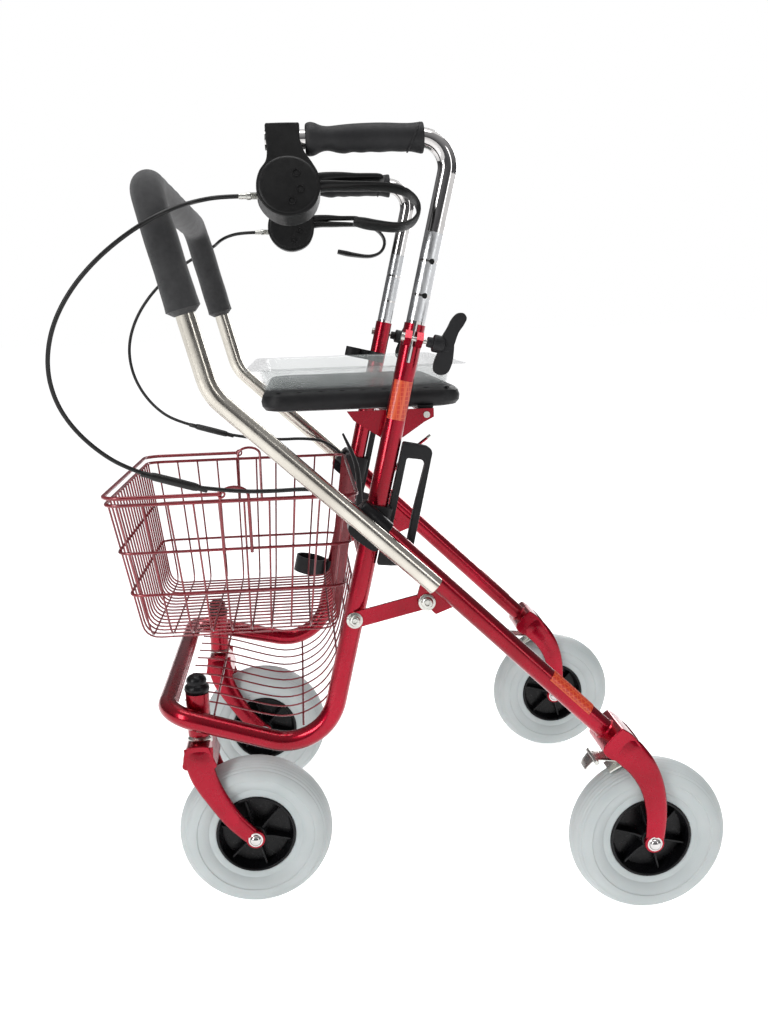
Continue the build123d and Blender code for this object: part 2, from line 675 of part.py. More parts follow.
with BuildPart() as grab_loops:
    with BuildSketch(side_plane(LOOP_Y[1])):
        with BuildLine():
            Polyline(
                behind_upright(612), (-22, 603), (-25, 598), (6, 462), (11, 457), behind_upright(460),
                behind_upright(612),
            )
        make_face()
        with BuildLine():
            Polyline(
                behind_upright(591, 9), (-15, 588), (14, 470), behind_upright(473, 9),
                behind_upright(591, 9),
            )
        make_face(mode=Mode.SUBTRACT)
    extrude(amount=LOOP_Y[1] - LOOP_Y[0])
    back_of_carriage = Plane(origin=pivot - UP * (CARRIAGE_HALF_LENGTH + 0.2), x_dir=AHEAD, z_dir=UP)
    with BuildSketch(back_of_carriage):
        with Locations((0, (CARRIAGE_INNER_Y + CARRIAGE_OUTER_Y) / 2)):
            Rectangle(36.4, CARRIAGE_OUTER_Y - CARRIAGE_INNER_Y + 4)
    extrude(amount=2 * CARRIAGE_HALF_LENGTH + 0.4, mode=Mode.SUBTRACT)
    mirror(about=Plane.XZ)
save(grab_loops.part, "grab_loops")

# ---- rear frame: legs with link brackets, clamps, plugs, backrest and foam ----
BRACKET_PLATE_Y = (251.5, 256.5)
link_rear = Vector(LINK_REAR[0], 0, LINK_REAR[1])
with BuildPart() as rear_legs:
    add(pin(leg_point(-LEG_FRONT), leg_point(LEG_REAR), TUBE_R))
    with BuildSketch(side_plane(BRACKET_PLATE_Y[1])):
        with BuildLine():
            near = leg_point(84, 0, 4)
            far = leg_point(146, 0, 4)
            edge = leg_point(132, 0, 34)
            front = leg_point(100, 0, 34)
            Polyline((near.X, near.Z), (far.X, far.Z), (edge.X, edge.Z), (front.X, front.Z), close=True)
        make_face()
        with Locations(LINK_REAR):
            Circle(11.0)
    extrude(amount=BRACKET_PLATE_Y[1] - BRACKET_PLATE_Y[0])
    add(pin(leg_point(-LEG_FRONT), leg_point(LEG_REAR), TUBE_R - 1.5), mode=Mode.SUBTRACT)
    pivot_reach = Vector(0, 20, 0)
    pivot_hole = pin(leg_point(0) - pivot_reach, leg_point(0) + pivot_reach, AXLE_R + RUNNING)
    add(pivot_hole, mode=Mode.SUBTRACT)
    bolt_hole = link_rear + Vector(0, BRACKET_PLATE_Y[0] - 1, 0)
    add(pin(bolt_hole, bolt_hole + Vector(0, 8, 0), AXLE_R), mode=Mode.SUBTRACT)
    mirror(about=Plane.XZ)
save(rear_legs.part, "rear_legs")

with BuildPart() as leg_plugs:
    add(pin(leg_point(-PLUG_FACE), leg_point(-LEG_FRONT), TUBE_R))
    add(pin(leg_point(-LEG_FRONT), leg_point(-LEG_FRONT + 10), TUBE_R - 1.5))
    mirror(about=Plane.XZ)
save(leg_plugs.part, "leg_plugs")

with BuildPart() as bracket_bolts:
    for start, end, radius in ((251.5, 256.5, AXLE_R), (256.5, 259.5, 10.5), (259.5, 262.0, 6.0)):
        add(pin((link_rear.X, start, link_rear.Z), (link_rear.X, end, link_rear.Z), radius))
    mirror(about=Plane.XZ)
save(bracket_bolts.part, "bracket_bolts")

BACKREST_END = (-18.0, 444.0)
BACKREST_KNEE = (233.0, 681.0)
BACKREST_TOP = (290.0, 912.0)
FOAM_START_Z = 778.0
backrest_half = [
    Vector(BACKREST_END[0], BACKREST_Y, BACKREST_END[1]),
    Vector(BACKREST_KNEE[0], BACKREST_Y, BACKREST_KNEE[1]),
    Vector(BACKREST_TOP[0], BACKREST_Y, BACKREST_TOP[1]),
]
backrest_route = backrest_half + [Vector(p.X, -p.Y, p.Z) for p in reversed(backrest_half)]
save(bent_tube(backrest_route, [60.0, 45.0, 45.0, 60.0], BACKREST_R, BACKREST_R - 1.5), "backrest_tube")

foam_share = (FOAM_START_Z - BACKREST_KNEE[1]) / (BACKREST_TOP[1] - BACKREST_KNEE[1])
foam_start = backrest_half[1] + (backrest_half[2] - backrest_half[1]) * foam_share
foam_end = Vector(foam_start.X, -foam_start.Y, foam_start.Z)
foam_route = [foam_start, backrest_half[2], backrest_route[3], foam_end]
save(bent_tube(foam_route, [45.0, 45.0], FOAM_R, BACKREST_R), "backrest_foam")

CLAMP_Y = (257.0, 290.0)
leg_rod = pin(leg_point(-80), leg_point(80), TUBE_R)
back_direction = (backrest_half[1] - backrest_half[0]).normalized()
back_rod = pin(backrest_half[0], backrest_half[0] + back_direction * 200, BACKREST_R)
with BuildPart() as leg_clamps:
    with BuildSketch(side_plane(CLAMP_Y[1])):
        with BuildLine():
            clamp_outline = ((-28, -17), (14, -17), (18, 22), (-22, 26))
            corners = [leg_point(along, 0, drop) for along, drop in clamp_outline]
            Polyline(*[(c.X, c.Z) for c in corners], close=True)
        make_face()
    extrude(amount=CLAMP_Y[1] - CLAMP_Y[0])
    add(leg_rod, mode=Mode.SUBTRACT)
    add(back_rod, mode=Mode.SUBTRACT)
    mirror(about=Plane.XZ)
save(leg_clamps.part, "leg_clamps")

# ---- link bars between the uprights and the rear legs ----
with BuildPart() as link_bars:
    front_eye = Vector(link_front.X, link_front.Z)
    rear_eye = Vector(*LINK_REAR)
    middle = (front_eye + rear_eye) * 0.5
    span = rear_eye - front_eye
    with BuildSketch(side_plane(LINK_Y[1])):
        slope = math.degrees(math.atan2(span.Y, span.X))
        with Locations(Location((middle.X, middle.Y, 0), (0, 0, slope))):
            SlotCenterToCenter(span.length, 20)
        with Locations((front_eye.X, front_eye.Y)):
            Circle(AXLE_R + RUNNING, mode=Mode.SUBTRACT)
    extrude(amount=LINK_Y[1] - LINK_Y[0])
    mirror(about=Plane.XZ)
save(link_bars.part, "link_bars")

# ---- forks ----
REAR_LEG_END = leg_point(LEG_REAR, 0)
SHOE_PIVOT = (-214.0, 206.0)


def fork_cheeks(plane_y, outline):
    """Two cheeks of one outline, either side of a wheel centred on plane_y."""
    with BuildPart() as cheeks:
        for low in (plane_y - FORK_OUTER, plane_y + FORK_INNER):
            with BuildSketch(side_plane(low + FORK_OUTER - FORK_INNER)):
                add(outline)
            extrude(amount=FORK_OUTER - FORK_INNER)
    return cheeks.part


def rear_cheek_outline():
    """Side view of a rear fork cheek, from the crown down to the axle boss."""
    boss = 12.7
    x, z = REAR_AXLE_X, WHEEL_R
    with BuildSketch() as outline:
        with BuildLine():
            Spline((-244, 258), (-262, 245), (-283, 208), (-297, 160), (x - boss, z))
            ThreePointArc((x - boss, z), (x, z - boss), (x + boss, z))
            Spline((x + boss, z), (-277, 150), (-256, 188), (-226, 209))
            Spline((-226, 209), (-212, 218), (-212, 228))
            Line((-212, 228), (-244, 258))
        make_face()
    return outline.sketch


def front_cheek_outline():
    """Side view of a front fork cheek, trailing from the crown to the axle boss."""
    x, z = CASTER_X - CASTER_TRAIL, WHEEL_R
    with BuildSketch() as outline:
        with BuildLine():
            Spline((299, 230), (304, 202), (286, 160), (254, 122), (x + 9, z - 9))
            ThreePointArc((x + 9, z - 9), (x - 9, z - 9), (x - 9, z + 9))
            Spline((x - 9, z + 9), (236, 152), (257, 192), (263, 230))
            Line((263, 230), (299, 230))
        make_face()
    return outline.sketch


rear_cheeks = fork_cheeks(LEG_Y, rear_cheek_outline())
with BuildPart() as rear_forks:
    add(rear_cheeks)
    with BuildSketch(side_plane(LEG_Y + FORK_OUTER)):
        with BuildLine():
            crown_outline = ((0, -20), (0, 22), (20, 18), (24, -12))
            corners = [leg_point(LEG_REAR + along, 0, drop) for along, drop in crown_outline]
            Polyline(*[(c.X, c.Z) for c in corners], close=True)
        make_face()
    extrude(amount=2 * FORK_OUTER)
    for low in (LEG_Y - 21, LEG_Y + 18):
        with BuildSketch(side_plane(low + 3)):
            with BuildLine():
                Polyline((-232, 216), (-206, 226), (-208, 204), (-218, 200), (-226, 206), close=True)
            make_face()
            with Locations(SHOE_PIVOT):
                Circle(3 + RUNNING, mode=Mode.SUBTRACT)
        extrude(amount=3)
    rear_boss = Vector(REAR_AXLE_X, LEG_Y, WHEEL_R)
    add(pin(rear_boss - Vector(0, 40, 0), rear_boss + Vector(0, 40, 0), AXLE_R), mode=Mode.SUBTRACT)
    mirror(about=Plane.XZ)
save(rear_forks.part, "rear_forks")


def axle(x, y):
    """A wheel axle with domed heads outside the fork."""
    centre = Vector(x, y, WHEEL_R)
    head = FORK_OUTER
    plane = Plane(origin=centre, x_dir=(0, 1, 0), z_dir=(1, 0, 0))
    with BuildPart() as shaft:
        with BuildSketch(plane):
            with BuildLine():
                Polyline(
                    (-head - 5, 0), (head + 5, 0), (head + 5, 2.5), (head + 3.5, 5.5), (head, 7.5),
                    (head, AXLE_R), (-head, AXLE_R), (-head, 7.5), (-head - 3.5, 5.5), (-head - 5, 2.5),
                    close=True,
                )
            make_face()
        revolve(axis=Axis(centre, (0, 1, 0)))
    return shaft.part


left_rear_axle = axle(REAR_AXLE_X, LEG_Y)
with BuildPart() as rear_axles:
    add(left_rear_axle)
    mirror(about=Plane.XZ)
save(rear_axles.part, "rear_axles")


def brake_shoe():
    """A sprung steel plate with a pad held just clear of the left rear tyre."""
    pad = math.radians(72)
    radial = Vector(math.cos(pad), math.sin(pad))
    centre = Vector(REAR_AXLE_X, WHEEL_R) + radial * (WHEEL_R + 6.5)
    with BuildPart() as shoe:
        with BuildSketch(side_plane(LEG_Y + 15)):
            with Locations(Location((centre.X, centre.Y, 0), (0, 0, 72 - 90))):
                Rectangle(26, 7)
            with BuildLine():
                Polyline(
                    (-246, 206), (-214, 209), (-201, 195), (-204, 192), (-214, 203), (-246, 200),
                    close=True,
                )
            make_face()
        extrude(amount=30)
        with BuildSketch(side_plane(LEG_Y + 21)):
            with Locations(SHOE_PIVOT):
                Circle(3)
        extrude(amount=42)
    return shoe.part


left_shoe = brake_shoe()
save(left_shoe, "left_brake_shoe")
save(mirrored(left_shoe), "right_brake_shoe")

front_cheeks = fork_cheeks(CASTER_Y, front_cheek_outline())
with BuildPart() as front_fork:
    add(front_cheeks)
    with BuildSketch(side_plane(CASTER_Y + FORK_OUTER)):
        with BuildLine():
            Polyline((263, 230), (299, 230), (301, 218), (290, 211), (268, 211), (261, 218), close=True)
        make_face()
    extrude(amount=2 * FORK_OUTER)
    with BuildSketch(Plane.XY.offset(230)):
        with Locations((CASTER_X, CASTER_Y)):
            Circle(15)
    extrude(amount=SOCKET_Z[0] - 0.5 - 230)
    with BuildSketch(Plane.XY.offset(230)):
        with Locations((CASTER_X, CASTER_Y)):
            Circle(STEM_R)
    extrude(amount=SOCKET_Z[1] - 1 - 230)
    front_boss = Vector(CASTER_X - CASTER_TRAIL, CASTER_Y, WHEEL_R)
    add(pin(front_boss - Vector(0, 40, 0), front_boss + Vector(0, 40, 0), AXLE_R), mode=Mode.SUBTRACT)
save(front_fork.part, "left_front_fork")
save(mirrored(front_fork.part), "right_front_fork")
left_front_axle = axle(CASTER_X - CASTER_TRAIL, CASTER_Y)
save(left_front_axle, "left_front_axle")
save(mirrored(left_front_axle), "right_front_axle")


# ---- wheels ----
def tyre(x, y):
    """A soft grey tyre with a full round crown."""
    centre = Vector(x, y, WHEEL_R)
    with BuildPart() as ring:
        with BuildSketch(Plane(origin=centre, x_dir=(0, 1, 0), z_dir=(1, 0, 0))):
            with BuildLine():
                Line((-19, RIM_R), (19, RIM_R))
                ThreePointArc((19, RIM_R), (TYRE_HALF_WIDTH, 72), (20, 88))
                ThreePointArc((20, 88), (0, WHEEL_R), (-20, 88))
                ThreePointArc((-20, 88), (-TYRE_HALF_WIDTH, 72), (-19, RIM_R))
            make_face()
        revolve(axis=Axis(centre, (0, 1, 0)))
    return ring.part


def hub(x, y):
    """A moulded hub: rim ring, thin web, six ribs and a bored boss."""
    centre = Vector(x, y, WHEEL_R)
    with BuildPart() as wheel:
        with BuildSketch(Plane(origin=centre, x_dir=(0, 1, 0), z_dir=(1, 0, 0))):
            with BuildLine():
                Polyline(
                    (-23, AXLE_R + RUNNING), (23, AXLE_R + RUNNING), (23, 12), (3, 13), (3, 46),
                    (20, 47.5), (20, RIM_R), (-20, RIM_R), (-20, 47.5), (-3, 46), (-3, 13), (-23, 12),
                    close=True,
                )
            make_face()
        revolve(axis=Axis(centre, (0, 1, 0)))
        with BuildSketch(Plane(origin=centre, x_dir=(1, 0, 0), z_dir=(0, -1, 0))):
            with PolarLocations(0, 6):
                with Locations((29.5, 0)):
                    Rectangle(36, 3)
        extrude(amount=16, both=True)
    return wheel.part


for name, side in SIDES:
    save(tyre(REAR_AXLE_X, side * LEG_Y), f"{name}_rear_tyre")
    save(hub(REAR_AXLE_X, side * LEG_Y), f"{name}_rear_hub")
    save(tyre(CASTER_X - CASTER_TRAIL, side * CASTER_Y), f"{name}_front_tyre")
    save(hub(CASTER_X - CASTER_TRAIL, side * CASTER_Y), f"{name}_front_hub")
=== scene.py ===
import json
import math

import bmesh
import bpy
from mathutils import Euler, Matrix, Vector


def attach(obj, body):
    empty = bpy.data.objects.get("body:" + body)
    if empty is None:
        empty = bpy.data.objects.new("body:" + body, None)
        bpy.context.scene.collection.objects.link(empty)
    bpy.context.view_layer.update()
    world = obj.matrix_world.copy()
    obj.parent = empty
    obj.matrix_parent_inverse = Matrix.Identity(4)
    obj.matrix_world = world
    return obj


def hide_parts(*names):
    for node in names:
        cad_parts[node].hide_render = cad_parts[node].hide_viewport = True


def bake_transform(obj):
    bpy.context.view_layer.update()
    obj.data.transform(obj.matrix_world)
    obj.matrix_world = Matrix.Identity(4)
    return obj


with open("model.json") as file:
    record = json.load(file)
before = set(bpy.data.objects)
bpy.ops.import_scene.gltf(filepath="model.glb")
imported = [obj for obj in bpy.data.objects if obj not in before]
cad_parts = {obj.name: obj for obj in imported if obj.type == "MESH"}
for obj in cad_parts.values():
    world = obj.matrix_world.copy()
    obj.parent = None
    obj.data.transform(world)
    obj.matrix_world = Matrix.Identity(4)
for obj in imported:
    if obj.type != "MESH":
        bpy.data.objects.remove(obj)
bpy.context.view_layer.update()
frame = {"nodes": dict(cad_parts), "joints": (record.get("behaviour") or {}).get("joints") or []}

NODES = frame["nodes"]
JOINTS = {joint["name"]: joint for joint in frame["joints"]}

# ---- shared directions and places, metres ----
LEAN = math.radians(13.7)               # backward lean of the uprights
UP = Vector((-math.sin(LEAN), 0, math.cos(LEAN)))
AHEAD = Vector((math.cos(LEAN), 0, math.sin(LEAN)))
ACROSS = Vector((0, 1, 0))
RISE = Vector((0, 0, 1))
DOWN_LEG = Vector((-0.712, 0, -0.702)).normalized()
LEG_NORMAL = Vector((-DOWN_LEG.z, 0, DOWN_LEG.x))
UPRIGHT_Y = 0.232
UPRIGHT_TOP = Vector((-0.0085, 0, 0.750))
LEG_Y = 0.268
HANDLE_Z = 0.962
SIDES = (("left", 1), ("right", -1))
LEG_PIVOT = Vector(JOINTS["frame_fold"]["pos_m"])


def upright_point(z, side=1):
    """A point at height z on the centre line of an upright."""
    return Vector((UPRIGHT_TOP.x + (UPRIGHT_TOP.z - z) * math.tan(LEAN), side * UPRIGHT_Y, z))


def leg_point(distance, side=1, drop=0.0):
    """A point along a rear leg from its pivot, and below its centre line by drop."""
    return LEG_PIVOT + DOWN_LEG * distance + LEG_NORMAL * drop + ACROSS * side * LEG_Y


def mm(rows):
    """Rows of numbers given in millimetres, as metres."""
    return [tuple(value / 1000 for value in row) for row in rows]


def add_object(name, data):
    """A new object in the scene."""
    obj = bpy.data.objects.new(name, data)
    bpy.context.scene.collection.objects.link(obj)
    return obj


def leg_outline(rows):
    """Outline points (x, z) from distances along the leg and below its centre line, in millimetres."""
    points = [leg_point(distance, 0, drop) for distance, drop in mm(rows)]
    return [(p.x, p.z) for p in points]


# ---- materials ----
def grey(value):
    """A neutral colour."""
    return (value, value, value)


def set_inputs(target, values):
    """Set a node's inputs by name. An underscore stands for a space."""
    for name, value in values.items():
        target.inputs[name.replace("_", " ")].default_value = value


def node(tree, kind, **values):
    """A new shader node with some of its inputs set."""
    made = tree.nodes.new("ShaderNode" + kind)
    set_inputs(made, values)
    return made


def mix_colour(tree, amount, low, high):
    """A colour between low and high, chosen by an output that runs from 0 to 1."""
    mix = node(tree, "Mix")
    mix.data_type = "RGBA"
    mix.inputs[6].default_value = (*low, 1)
    mix.inputs[7].default_value = (*high, 1)
    tree.links.new(amount, mix.inputs[0])
    return mix.outputs[2]


def noise(tree, scale, detail=3.0, stretch=(1, 1, 1)):
    """Noise in object space, in features per metre, stretched along an axis if wanted."""
    place = node(tree, "TexCoord")
    mapping = node(tree, "Mapping", Scale=stretch)
    texture = node(tree, "TexNoise", Scale=scale, Detail=detail)
    tree.links.new(place.outputs["Object"], mapping.inputs["Vector"])
    tree.links.new(mapping.outputs["Vector"], texture.inputs["Vector"])
    return texture.outputs["Fac"]


def spread(tree, value, low, high):
    """A noise output mapped from its usual range to low to high."""
    ranged = node(tree, "MapRange", From_Min=0.3, From_Max=0.7, To_Min=low, To_Max=high)
    tree.links.new(value, ranged.inputs["Value"])
    return ranged.outputs["Result"]


def add_relief(tree, height, strength, depth):
    """Bump from a height output, on the tree's shader."""
    relief = node(tree, "Bump", Strength=strength, Distance=depth)
    tree.links.new(height, relief.inputs["Height"])
    tree.links.new(relief.outputs["Normal"], tree.nodes["Principled BSDF"].inputs["Normal"])


def cell_texture(tree, **values):
    """A cell texture in object space."""
    cells = node(tree, "TexVoronoi", **values)
    tree.links.new(node(tree, "TexCoord").outputs["Object"], cells.inputs["Vector"])
    return cells


def surface(name, dark, light, roughness, grain, bump, patch=25.0, stretch=(1, 1, 1), **sockets):
    """A procedural finish: patchy colour and roughness, and a fine grain as bump."""
    material = bpy.data.materials.new(name)
    material.use_nodes = True
    tree = material.node_tree
    shader = tree.nodes["Principled BSDF"]
    patches = noise(tree, patch, stretch=stretch)
    tree.links.new(mix_colour(tree, spread(tree, patches, 0, 1), dark, light), shader.inputs["Base Color"])
    wear = noise(tree, patch * 7, stretch=stretch)
    tree.links.new(spread(tree, wear, *roughness), shader.inputs["Roughness"])
    add_relief(tree, noise(tree, grain, 2.0, stretch), bump, 0.0004)
    set_inputs(shader, sockets)
    return material


def flaked_paint(name, dark, light):
    """Clear-coated metallic paint with fine bright flakes."""
    material = surface(
        name, dark, light, (0.22, 0.32), 900, 0.05, patch=9,
        Metallic=0.88, Coat_Weight=0.65, Coat_Roughness=0.05, Coat_IOR=1.36, Specular_IOR_Level=0.2,
    )
    tree = material.node_tree
    add_relief(tree, cell_texture(tree, Scale=1400).outputs["Color"], 0.05, 0.0003)
    return material


def reflector_sheet(name):
    """Orange prismatic sheet with a honeycomb of pale ribs."""
    material = surface(name, (0.66, 0.04, 0.01), (0.80, 0.09, 0.02), (0.28, 0.4), 500, 0.1, Coat_Weight=0.25)
    tree = material.node_tree
    cells = cell_texture(tree, Scale=190, Randomness=0.0)
    cells.feature = "DISTANCE_TO_EDGE"
    ribs = node(tree, "MapRange", From_Min=0.04, From_Max=0.12)
    tree.links.new(cells.outputs["Distance"], ribs.inputs["Value"])
    colour = mix_colour(tree, ribs.outputs["Result"], (0.62, 0.095, 0.025), (0.47, 0.022, 0.006))
    tree.links.new(colour, tree.nodes["Principled BSDF"].inputs["Base Color"])
    return material


PAINT = flaked_paint("candy_red", (0.22, 0.002, 0.010), (0.38, 0.004, 0.022))
WIRE = surface(
    "coated_wire", (0.14, 0.008, 0.014), (0.24, 0.014, 0.022), (0.25, 0.42), 700, 0.25,
    Metallic=0.35, Coat_Weight=0.5, Coat_Roughness=0.15,
)
CHROME = surface(
    "chrome_plate", (0.50, 0.485, 0.475), (0.64, 0.625, 0.615), (0.04, 0.10), 300, 0.03, Metallic=1.0,
)
SATIN = surface(
    "satin_scale", (0.50, 0.51, 0.52), (0.66, 0.67, 0.68), (0.22, 0.34), 2500, 0.25,
    stretch=(1, 1, 0.1), Metallic=1.0,
)
NICKEL = surface(
    "nickel_tube", (0.50, 0.47, 0.415), (0.66, 0.63, 0.565), (0.14, 0.24), 1800, 0.12,
    stretch=(1, 1, 0.2), Metallic=1.0,
)
ZINC = surface("zinc_plate", (0.46, 0.46, 0.43), (0.62, 0.62, 0.58), (0.2, 0.38), 900, 0.2, Metallic=1.0)
CASE = surface(
    "case_plastic", grey(0.003), grey(0.006), (0.34, 0.46), 1400, 0.35, Specular_IOR_Level=0.22,
)
PLASTIC = surface(
    "textured_plastic", (0.005, 0.005, 0.006), (0.011, 0.011, 0.012), (0.40, 0.55), 1700, 0.5,
    Specular_IOR_Level=0.28,
)
HUB = surface(
    "hub_plastic", (0.002, 0.002, 0.0025), (0.005, 0.005, 0.006), (0.24, 0.38), 800, 0.2,
    Specular_IOR_Level=0.22,
)
RUBBER = surface(
    "grip_rubber", (0.006, 0.006, 0.007), (0.013, 0.013, 0.014), (0.50, 0.64), 1300, 0.6,
    Specular_IOR_Level=0.3,
)
FOAM = surface(
    "handle_foam", (0.014, 0.014, 0.015), (0.026, 0.026, 0.027), (0.66, 0.86), 1900, 1.0,
    Sheen_Weight=0.2, Sheen_Roughness=0.5, Specular_IOR_Level=0.35,
)
TYRE = surface(
    "grey_tyre", (0.43, 0.47, 0.47), (0.50, 0.54, 0.54), (0.40, 0.56), 700, 0.2,
    patch=14, Subsurface_Weight=0.05,
)
CABLE = surface("cable_jacket", grey(0.004), grey(0.010), (0.28, 0.42), 900, 0.2, Specular_IOR_Level=0.3)
CLEAR = surface(
    "clear_plastic", (0.44, 0.48, 0.47), (0.54, 0.58, 0.57), (0.03, 0.08), 260, 0.04,
    Alpha=0.22, Coat_Weight=1.0, Coat_Roughness=0.03,
)
REFLECTOR = reflector_sheet("reflector_sheet")
# Painted shade: a near-black finish put where holes and screw sockets look dark from the shade inside them.
PAINTED_RECESS_SHADE = surface("painted_recess_shade", grey(0.002), grey(0.005), (0.5, 0.8), 600, 0.2, Specular_IOR_Level=0.2)


# ---- mesh building ----
def loft(rings, closed=False, capped=True):
    """Vertices and faces of a skin through rings of equal count."""
    count = len(rings[0])
    vertices = [point for ring in rings for point in ring]
    faces = []
    spans = len(rings) if closed else len(rings) - 1
    for i in range(spans):
        base = i * count
        ahead = ((i + 1) % len(rings)) * count
        for j in range(count):
            k = (j + 1) % count
            faces.append((base + j, base + k, ahead + k, ahead + j))
    if capped and not closed:
        faces.append(tuple(reversed(range(count))))
        faces.append(tuple(range(len(vertices) - count, len(vertices))))
    return vertices, faces


def circle(count, offset=0.0):
    """Cosine and sine of evenly spaced angles. The offset is a share of one step."""
    angles = [2 * math.pi * (i + offset) / count for i in range(count)]
    return [(math.cos(angle), math.sin(angle)) for angle in angles]


def ring(centre, side, up, radius, count):
    """A round ring of points."""
    return [centre + side * c * radius + up * s * radius for c, s in circle(count)]


def direction(points, i, closed=False):
    """The direction of a route at its point i."""
    if closed:
        return (points[(i + 1) % len(points)] - points[i - 1]).normalized()
    return (points[min(i + 1, len(points) - 1)] - points[max(i - 1, 0)]).normalized()


def tube(points, radius, count=10, closed=False):
    """A round tube through points. radius is one number, or one for each point."""
    radii = radius if isinstance(radius, list) else [radius] * len(points)
    rings = []
    side = None
    for i, point in enumerate(points):
        along = direction(points, i, closed)
        if side is None:
            side = along.cross(ACROSS if abs(along.y) < 0.9 else RISE).normalized()
        side = (side - along * side.dot(along)).normalized()
        rings.append(ring(point, side, along.cross(side), radii[i], count))
    return loft(rings, closed)


def lathe(origin, axis, profile, count=40):
    """A turned shape: profile is a list of (distance along the axis, radius)."""
    axis = axis.normalized()
    side = axis.cross(ACROSS if abs(axis.y) < 0.9 else RISE).normalized()
    rings = [ring(origin + axis * s, side, axis.cross(side), r, count) for s, r in profile]
    return loft(rings)


def slab(outline, low_y, high_y):
    """A flat plate: an outline of (x, z) points between two planes across Y."""
    rings = [[Vector((x, y, z)) for x, z in outline] for y in (low_y, high_y)]
    return loft(rings)


def rounded(points, radius, closed=False, steps=5):
    """A route with each corner replaced by a small curve."""
    route = []
    last = len(points) - 1
    for i, here in enumerate(points):
        if not closed and i in (0, last):
            route.append(here)
            continue
        before = points[i - 1]
        after = points[(i + 1) % len(points)]
        reach = min(radius, (before - here).length * 0.49, (after - here).length * 0.49)
        start = here + (before - here).normalized() * reach
        end = here + (after - here).normalized() * reach
        for k in range(steps + 1):
            t = k / steps
            route.append(start * (1 - t) ** 2 + here * 2 * t * (1 - t) + end * t**2)
    return route


def smooth_curve(points, per_span=6, closed=False):
    """Catmull-Rom points through a route."""
    count = len(points)
    spans = count if closed else count - 1
    route = []
    for i in range(spans):
        if closed:
            p0, p1, p2, p3 = (points[(i + k) % count] for k in (-1, 0, 1, 2))
        else:
            p0, p1, p2, p3 = (points[min(max(i + k, 0), count - 1)] for k in (-1, 0, 1, 2))
        square = p0 * 2 - p1 * 5 + p2 * 4 - p3
        cube = p1 * 3 - p0 - p2 * 3 + p3
        for k in range(per_span):
            t = k / per_span
            route.append((p1 * 2 + (p2 - p0) * t + square * t**2 + cube * t**3) * 0.5)
    if not closed:
        route.append(points[-1])
    return route


def flat_curve(points, per_span=6, closed=True):
    """Catmull-Rom points through (x, z) pairs, as pairs."""
    route = smooth_curve([Vector((x, 0, z)) for x, z in points], per_span, closed)
    return [(p.x, p.z) for p in route]


def combine(parts):
    """Several (vertices, faces) pairs as one."""
    vertices = []
    faces = []
    for more, polygons in parts:
        shift = len(vertices)
        vertices.extend(more)
        faces.extend(tuple(i + shift for i in face) for face in polygons)
    return vertices, faces


def soft_ring(centre, side, up, half_width, half_height, count=24, squareness=3.0):
    """A ring between an ellipse and a rounded rectangle."""
    points = []
    for c, s in circle(count, 0.5):
        grow = (abs(c) ** squareness + abs(s) ** squareness) ** (-1 / squareness)
        points.append(centre + side * c * grow * half_width + up * s * grow * half_height)
    return points


def strip(route, half_width, half_thickness, squareness=3.0, count=20):
    """A flat band that follows (x, z) pairs in the plane Y = 0. Sizes are lists along the route."""
    points = [Vector((x, 0, z)) for x, z in route]
    rings = []
    for i, point in enumerate(points):
        share = i / (len(points) - 1)
        sizes = spaced(half_width, share), spaced(half_thickness, share)
        rings.append(soft_ring(point, ACROSS, direction(points, i).cross(ACROSS), *sizes, count, squareness))
    return loft(rings)


def spaced(values, share):
    """A value between evenly spaced values, at share 0 to 1."""
    place = share * (len(values) - 1)
    index = min(int(place), len(values) - 2)
    return values[index] + (values[index + 1] - values[index]) * (place - index)


def moved(shape, change):
    """A shape with each vertex moved by a function."""
    vertices, faces = shape
    return [change(v) for v in vertices], faces


def shifted(shape, offset):
    """A shape moved by an offset."""
    return moved(shape, lambda v: v + offset)


def box_with_round_corners(levels, steps=7):
    """A skin through rounded rectangles: (x0, x1, half_y, z, corner radius) for each level."""
    rings = []
    for x0, x1, half, z, corner in levels:
        corners = ((x1 - corner, half - corner, 0), (x0 + corner, half - corner, 1),
                   (x0 + corner, corner - half, 2), (x1 - corner, corner - half, 3))
        points = []
        for cx, cy, quarter in corners:
            for k in range(steps + 1):
                angle = math.pi / 2 * (quarter + k / steps)
                points.append(Vector((cx + corner * math.cos(angle), cy + corner * math.sin(angle), z)))
        rings.append(points)
    return loft(rings)


def ring_about(centre, axis, section, count=72):
    """A closed ring turned about an axis: section is a closed list of (along the axis, radius)."""
    axis = axis.normalized()
    side = axis.cross(RISE if abs(axis.z) < 0.9 else ACROSS).normalized()
    other = axis.cross(side)
    rings = []
    for c, s in circle(count):
        out = side * c + other * s
        rings.append([centre + axis * along + out * radius for along, radius in section])
    return loft(rings, closed=True)


def piece(name, shape, material, slot, body=None, stands_for=None, bevel=0.0, subdivide=0):
    """A finished mesh object. It rides on a body, stands for a CAD node, and may get round edges."""
    vertices, faces = shape
    mesh = bpy.data.meshes.new(name)
    mesh.from_pydata([tuple(v) for v in vertices], [], faces)
    mesh.update()
    mesh.shade_smooth()
    mesh.materials.append(material)
    obj = add_object(name, mesh)
    tidy_normals(mesh)
    if bevel:
        rounding = obj.modifiers.new("rounding", "BEVEL")
        rounding.width = bevel
        rounding.segments = 3
        rounding.limit_method = "ANGLE"
        rounding.angle_limit = math.radians(32)
        rounding.harden_normals = True
    if subdivide:
        division = obj.modifiers.new("division", "SUBSURF")
        division.levels = subdivide
        division.render_levels = subdivide
    if body:
        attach(obj, body)
    if stands_for:
        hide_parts(stands_for)
    return obj


